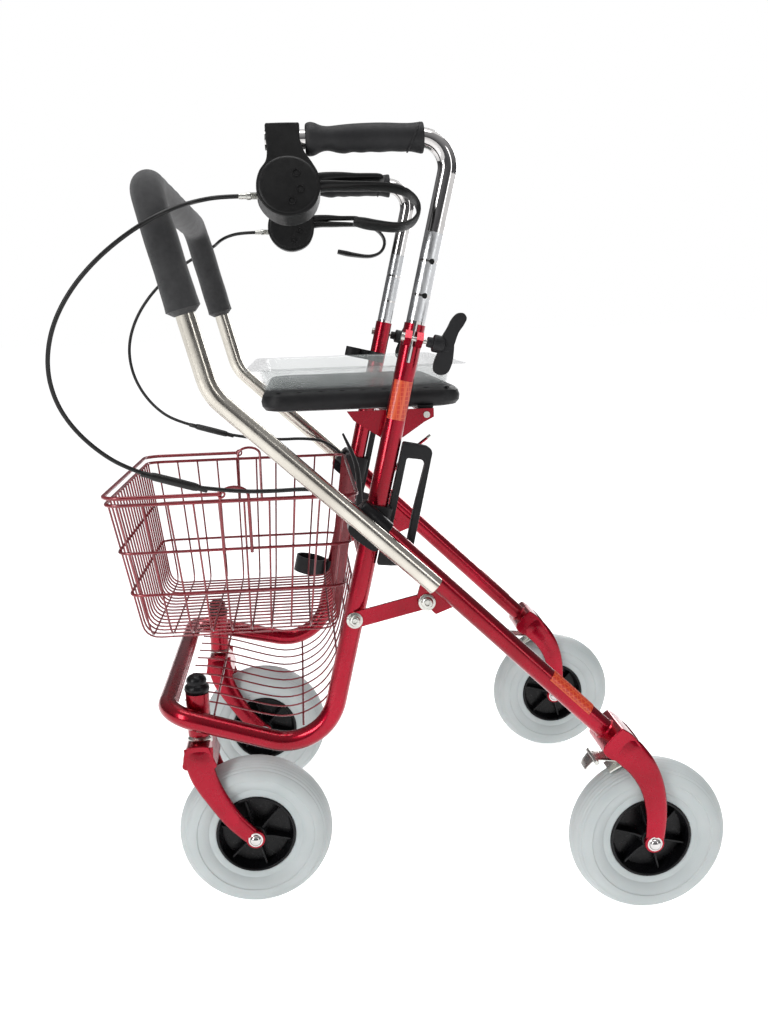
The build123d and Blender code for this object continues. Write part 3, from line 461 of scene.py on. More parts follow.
def tidy_normals(mesh):
    """Make every face point outwards, and keep real edges sharp."""
    work = bmesh.new()
    work.from_mesh(mesh)
    bmesh.ops.remove_doubles(work, verts=work.verts, dist=1e-6)
    bmesh.ops.recalc_face_normals(work, faces=work.faces)
    for edge in work.edges:
        if len(edge.link_faces) == 2 and edge.calc_face_angle(0) > math.radians(38):
            edge.smooth = False
    work.to_mesh(mesh)
    work.free()


def paint(material, *names):
    """Give CAD nodes their finish."""
    for name in names:
        NODES[name].data.materials.clear()
        NODES[name].data.materials.append(material)


# ---- camera ----
def add_camera():
    """The viewing angle: from the walker's left, a little ahead of it and looking down."""
    camera = add_object("camera", bpy.data.cameras.new("camera"))
    camera.location = (0.13035, 1.51928, 0.76241)
    camera.rotation_euler = Euler([math.radians(a) for a in (79.57, 1.933, 175.46)], "XYZ")
    camera.data.sensor_width = 36
    camera.data.lens = 37.73
    bpy.context.scene.camera = camera


add_camera()

# ---- brake cables ----
CABLE_R = 0.0025
CABLE_LEAD = 0.022
ADJUSTER_X = (0.168, 0.190)
ADJUSTER_DROP = 0.066
UNIT_ROLL = {"left": math.radians(18), "right": 0.0}
LOOP_ROUTES = {
    "left": mm([
        (234, 270, 894), (250, 302, 886), (272, 322, 876), (306, 332, 856), (342, 337, 828),
        (372, 338, 795), (393, 336, 758), (402, 331, 718), (398, 323, 682), (384, 313, 651),
        (361, 302, 623), (333, 292, 601), (304, 286, 589),
    ]),
    "right": mm([
        (234, -250, 893), (250, -281, 888), (262, -314, 881), (296, -329, 866), (336, -336, 842),
        (374, -338, 808), (402, -337, 768), (416, -333, 724), (412, -326, 681), (394, -317, 643),
        (366, -307, 613), (336, -300, 597), (306, -296, 588),
    ]),
}
TAIL_ROUTES = {
    "left": mm([(257, 277, 573), (212, 273, 565), (168, 270, 563), (128, 268, 564)]),
    "right": mm([(259, -286, 575), (214, -279, 566), (170, -273, 563), (130, -269, 564)]),
}
PLUG_FACE = 0.030


def unit_point(name, x, drop, out=0.0):
    """A point of a brake unit: drop below the grip's axis and out from its middle plane, with its roll."""
    side = 1 if name == "left" else -1
    roll = UNIT_ROLL[name]
    down = Vector((0, side * math.sin(roll), -math.cos(roll)))
    outwards = Vector((0, side * math.cos(roll), math.sin(roll)))
    return Vector((x, side * UPRIGHT_Y, HANDLE_Z)) + down * drop + outwards * out


def nurbs_line(points):
    """Close points along the smooth line that a route's points control."""
    curve = bpy.data.curves.new("route", "CURVE")
    curve.dimensions = "3D"
    curve.resolution_u = 12
    spline = curve.splines.new("NURBS")
    spline.points.add(len(points) - 1)
    for control, point in zip(spline.points, points):
        control.co = (*point, 1)
    spline.order_u = 3
    spline.use_endpoint_u = True
    holder = add_object("route", curve)
    bpy.context.view_layer.update()
    mesh = bpy.data.meshes.new_from_object(holder)
    line = [v.co.copy() for v in mesh.vertices]
    bpy.data.objects.remove(holder)
    bpy.data.curves.remove(curve)
    bpy.data.meshes.remove(mesh)
    return line


def line_length(points):
    """Length of a route."""
    return sum((b - a).length for a, b in zip(points, points[1:]))


def joiner_sleeve(name, start, end):
    """The moulded sleeve that joins a cable's two lengths, with stepped ends."""
    along = end - start
    size = along.length
    steps = mm([(-14, 2.6), (-13.5, 3.4), (-3, 3.6), (-2, 4.3), (2, 4.9)])
    profile = [*steps, (size / 2, 0.0051), *((size - place, radius) for place, radius in reversed(steps))]
    shape = lathe(start, along, profile, 24)
    return piece(f"{name}_joiner_sleeve", shape, CABLE, "cable_black", "frame", "cable_sleeves")


def brake_cable(name, side):
    """One brake cable: a loop that follows the handle, a joiner sleeve, and a tail to the leg plug."""
    start = unit_point(name, ADJUSTER_X[1], ADJUSTER_DROP)
    lead = start + Vector((CABLE_LEAD, 0, 0))
    loop_line = nurbs_line([start, lead] + [Vector(p) for p in LOOP_ROUTES[name]])
    tail_points = [Vector(p) for p in TAIL_ROUTES[name]]
    tail_points += [leg_point(-PLUG_FACE - 0.030, side), leg_point(-PLUG_FACE, side)]
    tail_line = nurbs_line(tail_points)
    sleeve = joiner_sleeve(name, loop_line[-1], tail_line[0])
    loop = piece(f"{name}_cable_run", tube(loop_line, CABLE_R, 12), CABLE, "cable_black")
    tail = piece(f"{name}_cable_end", tube(tail_line, CABLE_R, 12), CABLE, "cable_black")
    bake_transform(loop)
    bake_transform(tail)
    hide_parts(f"{name}_cable_loop")
    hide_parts(f"{name}_cable_tail")


for name, side in SIDES:
    brake_cable(name, side)

# ---- basket ----
BASKET_TOP = (0.066, 0.379, 0.204, 0.545)      # rear, front, half width, height
BASKET_FLOOR = (0.094, 0.350, 0.160, 0.356)
WIRE_R = 0.0013
RIM_R = 0.0023


def basket_level(z):
    """Rear, front and half width of the basket at height z."""
    share = (z - BASKET_FLOOR[3]) / (BASKET_TOP[3] - BASKET_FLOOR[3])
    return [low + (high - low) * share for low, high in zip(BASKET_FLOOR[:3], BASKET_TOP[:3])]


def basket_hoop(z, radius, inset=0.0):
    """A wire hoop right round the basket."""
    rear, front, half = basket_level(z)
    corners = [
        Vector((rear + inset, -half + inset, z)), Vector((front - inset, -half + inset, z)),
        Vector((front - inset, half - inset, z)), Vector((rear + inset, half - inset, z)),
    ]
    return tube(rounded(corners, 0.022, closed=True), radius, 8, closed=True)


def bent_wire(points, corner):
    """A thin wire through points, bent to one radius at its corners."""
    return tube(rounded([Vector(point) for point in points], corner), WIRE_R, 6)


def basket_wires():
    """The welded wires: hoops, front-to-rear U wires, side-to-side U wires and the handle guides."""
    top = BASKET_TOP[3]
    floor = BASKET_FLOOR[3]
    parts = [basket_hoop(top - RIM_R, RIM_R), basket_hoop(0.479, 0.0019), basket_hoop(0.421, 0.0019)]
    length_wires = 19
    for i in range(length_wires):
        share = (i + 0.5) / length_wires * 2 - 1
        low_y = share * (BASKET_FLOOR[2] - 0.004)
        high_y = share * (BASKET_TOP[2] - 0.010)
        route = [
            (BASKET_TOP[1] - 0.003, high_y, top - 0.002), (BASKET_FLOOR[1] - 0.003, low_y, floor + WIRE_R),
            (BASKET_FLOOR[0] + 0.003, low_y, floor + WIRE_R), (BASKET_TOP[0] + 0.003, high_y, top - 0.002),
        ]
        parts.append(bent_wire(route, 0.020))
    side_wires = 10
    for i in range(side_wires):
        share = (i + 0.5) / side_wires
        low_x = BASKET_FLOOR[0] + share * (BASKET_FLOOR[1] - BASKET_FLOOR[0])
        high_x = BASKET_TOP[0] + share * (BASKET_TOP[1] - BASKET_TOP[0])
        high_y = BASKET_TOP[2] - 0.003
        low_y = BASKET_FLOOR[2] - 0.003
        route = [
            (high_x, high_y, top - 0.002), (low_x, low_y, floor + 0.0036),
            (low_x, -low_y, floor + 0.0036), (high_x, -high_y, top - 0.002),
        ]
        parts.append(bent_wire(route, 0.022))
    for _, side in SIDES:
        low_y = side * (basket_level(0.479)[2] + 0.0005)
        high_y = side * (BASKET_TOP[2] + 0.0005)
        for foot_x in (0.236, 0.201):
            parts.append(tube([Vector((foot_x, low_y, 0.474)), Vector((foot_x, high_y, 0.549))], 0.0021, 8))
        arch = [Vector((0.2185 + 0.0175 * c, high_y, 0.549 + 0.011 * s)) for c, s in circle(20)[:11]]
        parts.append(tube(arch, 0.0021, 8))
    return combine(parts)


piece("basket_wires", basket_wires(), WIRE, "basket_wire", "basket", "basket")


def basket_eyes():
    """Coiled eyes at the basket handle's pivots."""
    parts = []
    x, _, z = JOINTS["basket_handle_swing"]["pos_m"]
    steps = 14
    turns = 3
    for _, side in SIDES:
        points = []
        for i in range(turns * steps + 1):
            angle = 2 * math.pi * i / steps
            reach = side * (0.2035 + 0.0045 * i / (turns * steps))
            points.append(Vector((x + 0.0042 * math.sin(angle), reach, z + 0.0042 * math.cos(angle))))
        parts.append(tube(points, WIRE_R, 6))
    return combine(parts)


piece("basket_handle_eyes", basket_eyes(), WIRE, "basket_wire", "basket_handle")

# ---- lower shelf ----
SLING = mm([(303, 268), (262, 262), (176, 238), (126, 252), (97, 290), (82, 340), (70, 395)])
SHELF_HALF = 0.183


def shelf_wires():
    """Sagging front-to-rear wires and the cross wires that hold them."""
    line = flat_curve(SLING, 6, closed=False)
    parts = []
    long_wires = 9
    for i in range(long_wires):
        y = (2 * (i + 0.5) / long_wires - 1) * (SHELF_HALF - 0.020)
        parts.append(tube([Vector((x, y, z)) for x, z in line], 0.0012, 6))
    for index in (6, 15, 24, 30, 33, len(line) - 1):
        x, z = line[index]
        cross = [Vector((x, y, z - 0.0022)) for y in (-SHELF_HALF, SHELF_HALF)]
        parts.append(tube(cross, 0.0016, 8))
    return combine(parts)


piece("shelf_wires", shelf_wires(), WIRE, "basket_wire", "frame", "lower_shelf")


# ---- wheels ----
def tyre_section():
    """A tyre's cross section with fine grooves round its crown and shoulders."""
    half, middle, rise = 0.025, 0.076, 0.024
    section = []
    steps = 96
    for i in range(steps + 1):
        angle = math.radians(-38 + 256 * i / steps)
        groove = 0.0
        for place in (34, 44, 54, 64, 76, 104, 116, 126, 136, 146):
            groove = max(groove, 0.0006 * math.exp(-(((math.degrees(angle) - place) / 1.6) ** 2)))
        stretch = 1.0 if 0 < angle < math.pi else 0.95
        width = (half - groove) * math.cos(angle) * stretch
        section.append((width, middle + (rise - groove) * math.sin(angle)))
    return section + [(-0.0195, 0.0535), (-0.0185, 0.0515), (0.0185, 0.0515), (0.0195, 0.0535)]


def hub_shape(centre):
    """A dished moulded hub: lipped rim, thin web, six tapered ribs each side and a ringed boss."""
    rim = mm([(-20, 52), (-21.2, 50.5), (-20.5, 48.5), (-12, 47), (-3, 44)])
    web = mm([(-3, 45), (-3, 12)])
    boss = mm([(-24, 4.2), (-24, 10), (-22.5, 12.5), (-4, 14.5)])
    parts = []
    for half in (rim, web, boss):
        section = half + [(-place, radius) for place, radius in reversed(half)]
        parts.append(ring_about(centre, ACROSS, section, 64))
    ribs = 6
    for i in range(ribs):
        angle = 2 * math.pi * (i + 0.25) / ribs
        out = Vector((math.cos(angle), 0, math.sin(angle)))
        wide = Vector((-math.sin(angle), 0, math.cos(angle)))
        rings = []
        for reach, depth, half in ((0.012, 0.0205, 0.0017), (0.022, 0.0165, 0.0014), (0.046, 0.0150, 0.0013)):
            here = centre + out * reach
            rings.append([
                here + ACROSS * depth + wide * half, here + ACROSS * depth - wide * half,
                here - ACROSS * depth - wide * half, here - ACROSS * depth + wide * half,
            ])
        parts.append(loft(rings))
    return combine(parts)


def add_wheels():
    """Four tyres and hubs, turned about their axles."""
    for name, _ in SIDES:
        for place in ("front", "rear"):
            centre = Vector(JOINTS[f"{name}_{place}_wheel_spin"]["pos_m"])
            wheel = f"{name}_{place}"
            tread = ring_about(centre, ACROSS, tyre_section(), 128)
            piece(f"{wheel}_tyre_tread", tread, TYRE, "tyre_grey", f"{wheel}_wheel", f"{wheel}_tyre")
            piece(
                f"{wheel}_wheel_hub", hub_shape(centre), HUB, "gloss_black", f"{wheel}_wheel", f"{wheel}_hub",
                bevel=0.0006,
            )


# ---- forks ----
ARM_Y = 0.0312                          # middle of a fork arm, from the wheel's middle plane
CROWN_HALF = 0.0335


def fork_arms(route, widths, wheel_y, axle):
    """The two rounded arms beside a wheel, and their round ends at its axle."""
    line = flat_curve(mm(route), 6, closed=False)
    half_thickness = [0.0012, 0.0050, 0.0058, 0.0058, 0.0056, 0.0053, 0.0050, 0.0046]
    eye = mm([(-4.2, 9.5), (-3.4, 11.9), (0, 12.5), (3.4, 11.9), (4.2, 9.5)])
    parts = []
    for side_y in (-ARM_Y, ARM_Y):
        arm = strip(line, half_thickness, widths, 2.2, 28)
        parts.append(shifted(arm, Vector((0, wheel_y + side_y, 0))))
        parts.append(lathe(axle + ACROSS * side_y, ACROSS, eye, 32))
    return combine(parts)


def fork_crown(outline, wheel_y):
    """The boxed crown over a wheel."""
    return slab(flat_curve(outline, 4), wheel_y - CROWN_HALF, wheel_y + CROWN_HALF)


def add_front_forks():
    """Trailing front forks: a boxed crown under the stem with two curved arms."""
    arm = [(282, 228), (281, 207), (276, 186), (262, 158), (243, 128), (224, 107), (216, 100)]
    arm_widths = [0.0185, 0.0180, 0.0165, 0.0140, 0.0125, 0.0115, 0.0105]
    crown = mm([
        (263, 214), (267, 226), (272, 231), (292, 231), (299, 225), (302, 212), (300, 200), (262, 200),
    ])
    neck = mm([(-4, 16), (1.5, 15.5), (3, 14), (5.5, 12), (5.8, 7.5), (55, 7)])
    for name, side in SIDES:
        wheel_y = side * 0.185
        axle = Vector(JOINTS[f"{name}_front_wheel_spin"]["pos_m"])
        place = (f"{name}_caster", f"{name}_front_fork")
        piece(f"{name}_fork_arms", fork_arms(arm, arm_widths, wheel_y, axle), PAINT, "red_paint", *place)
        piece(f"{name}_fork_crown", fork_crown(crown, wheel_y), PAINT, "red_paint", *place, bevel=0.0080)
        stem = Vector((0.282, wheel_y, 0.230))
        piece(f"{name}_caster_stem", lathe(stem, RISE, neck, 36), ZINC, "zinc", *place)


def add_rear_forks():
    """Rear forks: a collar round the leg's end, a boxed crown and two arms that sweep down to the axle."""
    arm = [(-240, 232), (-254, 219), (-270, 199), (-282, 172), (-287, 140), (-286, 112), (-284, 100)]
    arm_widths = [0.0190, 0.0190, 0.0172, 0.0150, 0.0134, 0.0124, 0.0112]
    crown = leg_outline([
        (390, -14), (396, -19), (412, -20), (425, -12), (428, 4), (416, 17), (402, 21), (391, 15),
    ])
    weld = mm([(388, 12.8), (389.5, 14.6), (392.5, 15), (395, 13)])
    arms, crowns, welds = [], [], []
    for _, side in SIDES:
        axle = Vector(JOINTS["left_rear_wheel_spin"]["pos_m"])
        axle.y = side * LEG_Y
        arms.append(fork_arms(arm, arm_widths, axle.y, axle))
        crowns.append(fork_crown(crown, axle.y))
        welds.append(lathe(leg_point(0.0, side), DOWN_LEG, weld, 36))
    piece("rear_fork_arms", combine(arms), PAINT, "red_paint", "rear_frame", "rear_forks")
    piece("rear_fork_crowns", combine(crowns), PAINT, "red_paint", "rear_frame", "rear_forks", bevel=0.0080)
    piece("rear_fork_welds", combine(welds), PAINT, "red_paint", "rear_frame")


# ---- domed axle heads, bolts and washers ----
def dome_nut(centre, axis, radius=0.0075, height=0.0055):
    """A smooth domed head on a thin washer."""
    profile = [(0.0, radius * 1.25), (0.0009, radius * 1.25), (0.0010, radius)]
    steps = 8
    for k in range(1, steps + 1):
        angle = math.pi / 2 * k / steps
        profile.append((0.0010 + height * math.sin(angle), max(radius * math.cos(angle), 0.0002)))
    return lathe(centre, axis, profile, 28)


def socket_bolt(centre, axis, radius, height):
    """A button head with a socket, on a dished washer."""
    washer = [(0.0, radius * 1.75), (0.0012, radius * 1.72), (0.0022, radius * 1.35), (0.0023, radius * 1.2)]
    base = 0.0020
    shares = [(0, 1.20), (0.4, 1.18), (0.8, 0.95), (1, 0.66), (1, 0.54), (1, 0.54), (0.4, 0.50)]
    head = [(base + height * up, radius * out) for up, out in shares]
    head.append((base + height * 0.4, 0.0002))
    return combine([lathe(centre, axis, washer, 36), lathe(centre, axis, head, 36)])


def add_fasteners():
    """Domed axle heads and the link and clamp bolts."""
    head_out = 0.0352
    rear = []
    for name, side in SIDES:
        for place in ("front", "rear"):
            centre = Vector(JOINTS[f"{name}_{place}_wheel_spin"]["pos_m"])
            shape = [dome_nut(centre + ACROSS * head_out * way, ACROSS * way) for way in (-1, 1)]
            shape.append(lathe(centre - ACROSS * head_out, ACROSS, [(0, 0.004), (2 * head_out, 0.004)], 16))
            if place == "rear":
                rear += shape
            else:
                heads = f"{name}_front_axle_heads"
                piece(heads, combine(shape), CHROME, "chrome", f"{name}_caster", f"{name}_front_axle")
    piece("rear_axle_heads", combine(rear), CHROME, "chrome", "rear_frame", "rear_axles")
    front_eye = Vector(JOINTS["link_turn"]["pos_m"])
    bolts = []
    brackets = []
    rear_eye = Vector((-0.011, 0, 0.415))
    for _, side in SIDES:
        out = ACROSS * side
        bolts.append(socket_bolt(front_eye + out * 0.2502, out, 0.0058, 0.0042))
        bolts.append(lathe(front_eye + out * 0.217, out, [(0, 0.004), (0.035, 0.004)], 16))
        bolts.append(dome_nut(front_eye + out * 0.2190, -out, 0.0060, 0.0035))
        brackets.append(socket_bolt(rear_eye + out * 0.2566, out, 0.0062, 0.0040))
    piece("link_bolt_heads", combine(bolts), ZINC, "zinc", "frame", "link_bolts", bevel=0.0003)
    piece("bracket_bolt_heads", combine(brackets), ZINC, "zinc", "rear_frame", "bracket_bolts", bevel=0.0003)


# ---- handle grips, brake units and knobs ----
def grip_shape(side):
    """An ergonomic grip: flared front, waisted behind it, finger waves below and a square rear end."""
    # x, reach above and below the tube's axis, half width
    stations = [
        (112, 11.8, 11.8, 11.8), (111.5, 17, 17, 15.5), (107, 19.2, 18.6, 17.4), (101, 18.4, 17.4, 16.8),
        (94, 15.4, 14.0, 14.6), (86, 14.2, 12.8, 13.8), (76, 15.0, 15.2, 14.8), (67, 15.8, 16.4, 15.4),
        (58, 16.4, 14.8, 15.6), (48, 16.8, 15.8, 15.8), (38, 17.0, 15.0, 15.8), (26, 17.0, 15.8, 15.8),
        (14, 16.6, 15.0, 15.6), (2, 16.0, 15.8, 15.4), (-8, 15.8, 15.6, 15.4), (-16, 16.4, 17.2, 15.8),
        (-22.5, 17.0, 18.4, 16.0), (-24, 15.0, 15.4, 14.6), (-24, 11.6, 11.6, 11.6),
    ]
    rings = []
    for x, above, below, width in smooth_curve([Vector(row) / 1000 for row in stations], 3):
        rings.append([
            Vector((x, side * UPRIGHT_Y + c * width, HANDLE_Z + s * (above if s > 0 else below)))
            for c, s in circle(36)
        ])
    return loft(rings)


def grip_seam(side):
    """The raised slanting bead near the grip's rear end."""
    middle = Vector((-0.0125, side * UPRIGHT_Y, HANDLE_Z - 0.0001))
    points = [middle + Vector((-0.0075 * s, 0.0155 * c, 0.0161 * s)) for c, s in circle(40)]
    return tube(points, 0.0010, 8, closed=True)


def to_unit(name):
    """A function that takes brake-unit points (x, out, height above the grip's axis) to their place."""
    return lambda v: unit_point(name, v.x, -v.z, v.y)


def unit_case_outline():
    """Side view of the brake unit: a clamp block above a round cable case."""
    outline = mm([
        (118, 8), (118.5, 13.6), (123, 14.2), (138, 14.4), (152, 14.2), (156.5, 13.6), (157.2, 8),
        (156.6, -6), (156, -20), (158, -31), (165.5, -42), (169.5, -56), (168.5, -71), (160.5, -84.5),
        (148.5, -93.5), (134, -97), (118.5, -94), (106.5, -86), (99.5, -73), (97.5, -60),
        (99.5, -46), (106, -33), (114, -20), (118, -6),
    ])
    return flat_curve(outline, 4)


def brake_unit(name):
    """The case, its round covers, its screw wells with dark hexagons of painted shade for the sockets, and a
    small cap.
    """
    place = to_unit(name)
    half = 0.0148
    cover_face = 0.0158
    finish = (CASE, "gloss_black", f"{name}_handle")
    case = moved(slab(unit_case_outline(), -half, half), place)
    piece(f"{name}_brake_case", case, *finish, f"{name}_brake_housing", bevel=0.0032)
    centre = Vector((0.1335, 0, -0.060))
    cover = mm([(12, 34.5), (14.8, 34), (15.6, 32.6), (15.8, 30.5), (15.8, 2)])
    covers = combine([moved(lathe(centre, ACROSS * way, cover, 48), place) for way in (-1, 1)])
    piece(f"{name}_case_covers", covers, *finish, bevel=0.0004)
    well = mm([(0, 3.2), (0.9, 3.5), (1, 4.2), (0, 4.7)])
    socket = mm([(-0.5, 3.1), (0.3, 2.9), (0.3, 1.4)])
    screws = []
    wells = []
    for x, z in mm([(124, -47), (120, -66), (130, -80)]):
        for way in (-1, 1):
            at = Vector((x, way * cover_face, z))
            wells.append(moved(ring_about(at, ACROSS * way, well, 24), place))
            screws.append(moved(lathe(at, ACROSS * way, socket, 6), place))
    piece(f"{name}_screw_wells", combine(wells), *finish)
    # Painted shade: dark hexagons in the wells stand for the shade inside the screw sockets.
    piece(f"{name}_case_socket_shade", combine(screws), PAINTED_RECESS_SHADE, *finish[1:])
    cap = lathe(Vector((0.138, 0, 0.0143)), RISE, mm([(0, 5.8), (1.2, 5.6), (2.4, 4.2), (3, 1.8)]), 28)
    piece(f"{name}_case_cap", moved(cap, place), *finish)


def brake_lever_shape():
    """A hooked band that thickens to a round tip, with a guard plate above its root."""
    hook = mm([
        (112, -59), (92, -56), (68, -57), (42, -58), (20, -60), (1, -66), (-11, -78), (-13, -91),
        (-5, -103), (12, -108), (36, -105), (52, -101.5), (62, -99),
    ])
    band = strip(
        flat_curve(hook, 5, closed=False),
        [0.0090, 0.0093, 0.0098, 0.0104, 0.0108, 0.0112, 0.0118, 0.0124, 0.0124, 0.0088],
        [0.0066, 0.0050, 0.0038, 0.0028, 0.0024, 0.0023, 0.0024, 0.0030, 0.0042, 0.0036], 3.0,
    )
    shield = mm([(110, -52), (96, -48), (76, -47), (56, -48), (40, -48.3), (29, -49), (27, -52)])
    guard = strip(
        flat_curve(shield, 5, closed=False),
        [0.0090, 0.0093, 0.0093, 0.0092, 0.0080], [0.0074, 0.0052, 0.0036, 0.0034, 0.0030], 4.0,
    )
    turn = mm([(0, 8.5), (1, 9.5), (18, 9.5), (19, 8.5)])
    return combine([band, guard, lathe(Vector((0.112, -0.0095, -0.060)), ACROSS, turn, 28)])


def adjuster_shape():
    """A barrel adjuster: knurled collar, threaded stem and ferrule, along +X from the case."""
    start = Vector((ADJUSTER_X[0] - 0.006, 0, -ADJUSTER_DROP))
    profile = [(0, 4), (6, 4)]
    for k in range(6):
        profile += [(6.8 + 1.3 * k, 4.1), (7.4 + 1.3 * k, 3.6)]
    profile += [(15, 4.4), (19, 4.4), (19.5, 3.4), (28, 3.3), (28.5, 2.7)]
    return lathe(start, Vector((1, 0, 0)), mm(profile), 20)


def wing_knob_shape(side):
    """A two-winged knob: a stepped collar with an upper and a lower paddle."""
    bolt = upright_point(0.733, side)
    bolt.y = side * 0.250
    back = -AHEAD
    collar = mm([
        (16, 6), (22.5, 6.4), (23, 9.6), (24, 10.4), (31.5, 10.4), (36, 9.2), (38, 6), (38.2, 2),
    ])
    parts = [lathe(bolt, back, collar, 28)]
    upper = [
        (-6, 32), (8, 32), (20, 36), (31, 39), (39, 44), (41, 51), (36, 56), (27, 54), (17, 50), (-4, 46),
    ]
    lower = [
        (6, 33), (8, 46), (-10, 50), (-22, 50), (-31, 47), (-35, 39), (-32, 31), (-22, 29), (-10, 31),
    ]
    for outline, half in ((upper, 0.0046), (lower, 0.0042)):
        route = smooth_curve([bolt + UP * u + back * v for u, v in mm(outline)], 4, closed=True)
        parts.append(loft([[p + ACROSS * y for p in route] for y in (-half, half)]))
    return combine(parts)


SCALE_HEIGHTS = [0.752, 0.783, 0.822, 0.856]
SCALE_GAP = 0.0028


def scale_bands(side):
    """Satin height-scale films round the post, thin enough to slide into the upright."""
    bands = []
    for low, high in zip(SCALE_HEIGHTS, SCALE_HEIGHTS[1:]):
        foot = upright_point(low + SCALE_GAP / 2, side)
        length = (high - low - SCALE_GAP) / UP.z
        section = [(0, 0.01110), (0.0001, 0.01119), (length - 0.0001, 0.01119), (length, 0.01110)]
        bands.append(ring_about(foot, UP, section, 120))
    return combine(bands)


def adjusting_hole_shade(side):
    """Painted shade for the post's adjusting holes: dark discs curved with it, where its bare chrome shows.
    """
    outwards = Vector((-0.30, side * 0.95, 0))
    outwards = (outwards - UP * outwards.dot(UP)).normalized()
    across = UP.cross(outwards)
    surface_radius = 0.01121
    holes = []
    for height in SCALE_HEIGHTS[1:-1]:
        centre = upright_point(height, side)
        rings = []
        for radius in (0.0034, 0.0024, 0.0012, 0.0002):
            points = []
            for c, s in circle(24):
                turn = radius * c / surface_radius
                out = outwards * math.cos(turn) + across * math.sin(turn)
                points.append(centre + out * surface_radius + UP * radius * s)
            rings.append(points)
        holes.append(loft(rings))
    return combine(holes)


def add_handles():
    """Grips, brake units, levers, adjusters, wing knobs and post scales on both sides."""
    for name, side in SIDES:
        body = f"{name}_handle"
        place = to_unit(name)
        grip = grip_shape(side)
        piece(f"{name}_moulded_grip", grip, RUBBER, "grip_rubber", body, f"{name}_grip", subdivide=1)
        piece(f"{name}_grip_bead", grip_seam(side), RUBBER, "grip_rubber", body)
        brake_unit(name)
        lever = moved(brake_lever_shape(), place)
        piece(
            f"{name}_hook_lever", lever, CASE, "gloss_black", f"{name}_lever", f"{name}_brake_lever",
            subdivide=1,
        )
        adjuster = moved(adjuster_shape(), place)
        piece(f"{name}_barrel_adjuster", adjuster, ZINC, "zinc", body, f"{name}_cable_adjuster")
        piece(
            f"{name}_wing_nut", wing_knob_shape(side), PLASTIC, "black_plastic", f"{name}_knob",
            f"{name}_wing_knob", bevel=0.0022,
        )
        piece(f"{name}_post_scale", scale_bands(side), SATIN, "chrome", body)
        # Painted shade: dark discs on the post stand for the shade inside its adjusting holes.
        piece(f"{name}_post_hole_shade", adjusting_hole_shade(side), PAINTED_RECESS_SHADE, "chrome", body)


# ---- backrest foam ----
def foam_shape():
    """A foam sleeve round the backrest bow, a little uneven and with rounded ends."""
    knee = Vector((0.233, 0.293, 0.681))
    top = Vector((0.290, 0.293, 0.912))
    start = knee + (top - knee) * ((0.770 - knee.z) / (top.z - knee.z))
    mirror = Vector((1, -1, 1))
    corners = [start, top, top * mirror, start * mirror]
    route = rounded(corners, 0.048, steps=14)
    dense = [route[0]]
    for a, b in zip(route, route[1:]):
        steps = max(1, int((b - a).length / 0.006))
        dense += [a.lerp(b, (k + 1) / steps) for k in range(steps)]
    total = line_length(dense)
    walked = 0.0
    radii = []
    for i, point in enumerate(dense):
        if i:
            walked += (point - dense[i - 1]).length
        end = min(walked, total - walked)
        lip = 0.0016 * math.exp(-((end - 0.006) / 0.005) ** 2)
        rounding = 0.0070 * math.exp(-end / 0.0030)
        ripple = 0.00025 * math.sin(walked * 95) + 0.0002 * math.sin(walked * 41 + 1)
        radii.append(0.0190 + lip - rounding + ripple)
    return tube(dense, radii, 36)


foam = piece("backrest_foam_sleeve", foam_shape(), FOAM, "foam", "rear_frame", "backrest_foam")


# ---- seat and tray ----
def seat_shape():
    """A moulded seat: rounded rim, gently crowned top and a softened underside."""
    rear, front, half = -0.068, 0.180, 0.203
    edge = mm([
        (30, 650, 10), (14, 648.2, 20), (5, 650, 24), (1, 655, 26), (0, 661.5, 27),
        (2, 668, 26), (6, 671.6, 24), (13, 673.4, 20), (30, 674, 12), (70, 673.8, 6),
    ])
    return box_with_round_corners([(rear + i, front - i, half - i, z, corner) for i, z, corner in edge], 8)


def seat_hole_shade_discs():
    """Dark discs of painted shade for small round drain holes in a row along each side of the seat's top."""
    parts = []
    holes = 9
    profile = mm([(0, 3), (0.4, 3), (0.5, 2.6)])
    for _, side in SIDES:
        for i in range(holes):
            x = -0.050 + 0.208 * i / (holes - 1)
            parts.append(lathe(Vector((x, side * 0.1935, 0.6722)), RISE, profile, 16))
    return combine(parts)


def seat_knuckles():
    """Hinge knuckles under the seat's rear edge."""
    x, _, z = JOINTS["seat_flip"]["pos_m"]
    parts = []
    barrel = mm([(0, 4.2), (0, 7.4), (0.6, 8), (13.4, 8), (14, 7.4), (14, 4.2)])
    web = [(x - 0.008, z + 0.003), (x + 0.008, z + 0.003), (x + 0.010, 0.651), (x - 0.010, 0.651)]
    for _, side in SIDES:
        parts.append(ring_about(Vector((x, side * 0.188, z)), ACROSS * side, barrel, 28))
        parts.append(slab(web, *sorted((side * 0.188, side * 0.202))))
    return combine(parts)


def tray_shape():
    """A clear drop-on tray with thin walls, rounded corners and a flat outer rim."""
    rear, front, half = -0.075, 0.198, 0.208
    levels = mm([
        (26, 674.3, 12), (23, 675.3, 15), (21, 678.3, 17), (16.5, 698, 18), (15.5, 699.2, 18),
        (2, 699.4, 16), (0, 700, 16), (0, 700.8, 16), (2, 701, 16),
        (14.5, 701, 18), (16.5, 700, 18), (18.2, 698, 18),
        (22.8, 679.3, 15), (24.8, 677.1, 14), (28, 676.1, 10),
    ])
    return box_with_round_corners([(rear + i, front - i, half - i, z, corner) for i, z, corner in levels], 8)


seat_body = combine([seat_shape(), seat_knuckles()])
piece("moulded_seat", seat_body, PLASTIC, "seat_plastic", "seat", "seat", bevel=0.0006)
# Painted shade: dark discs on the seat's top stand for the shade inside its drain holes.
piece("seat_drain_hole_shade", seat_hole_shade_discs(), PAINTED_RECESS_SHADE, "seat_plastic", "seat")
piece("clear_tray", tray_shape(), CLEAR, "clear_plastic", "tray", "tray")


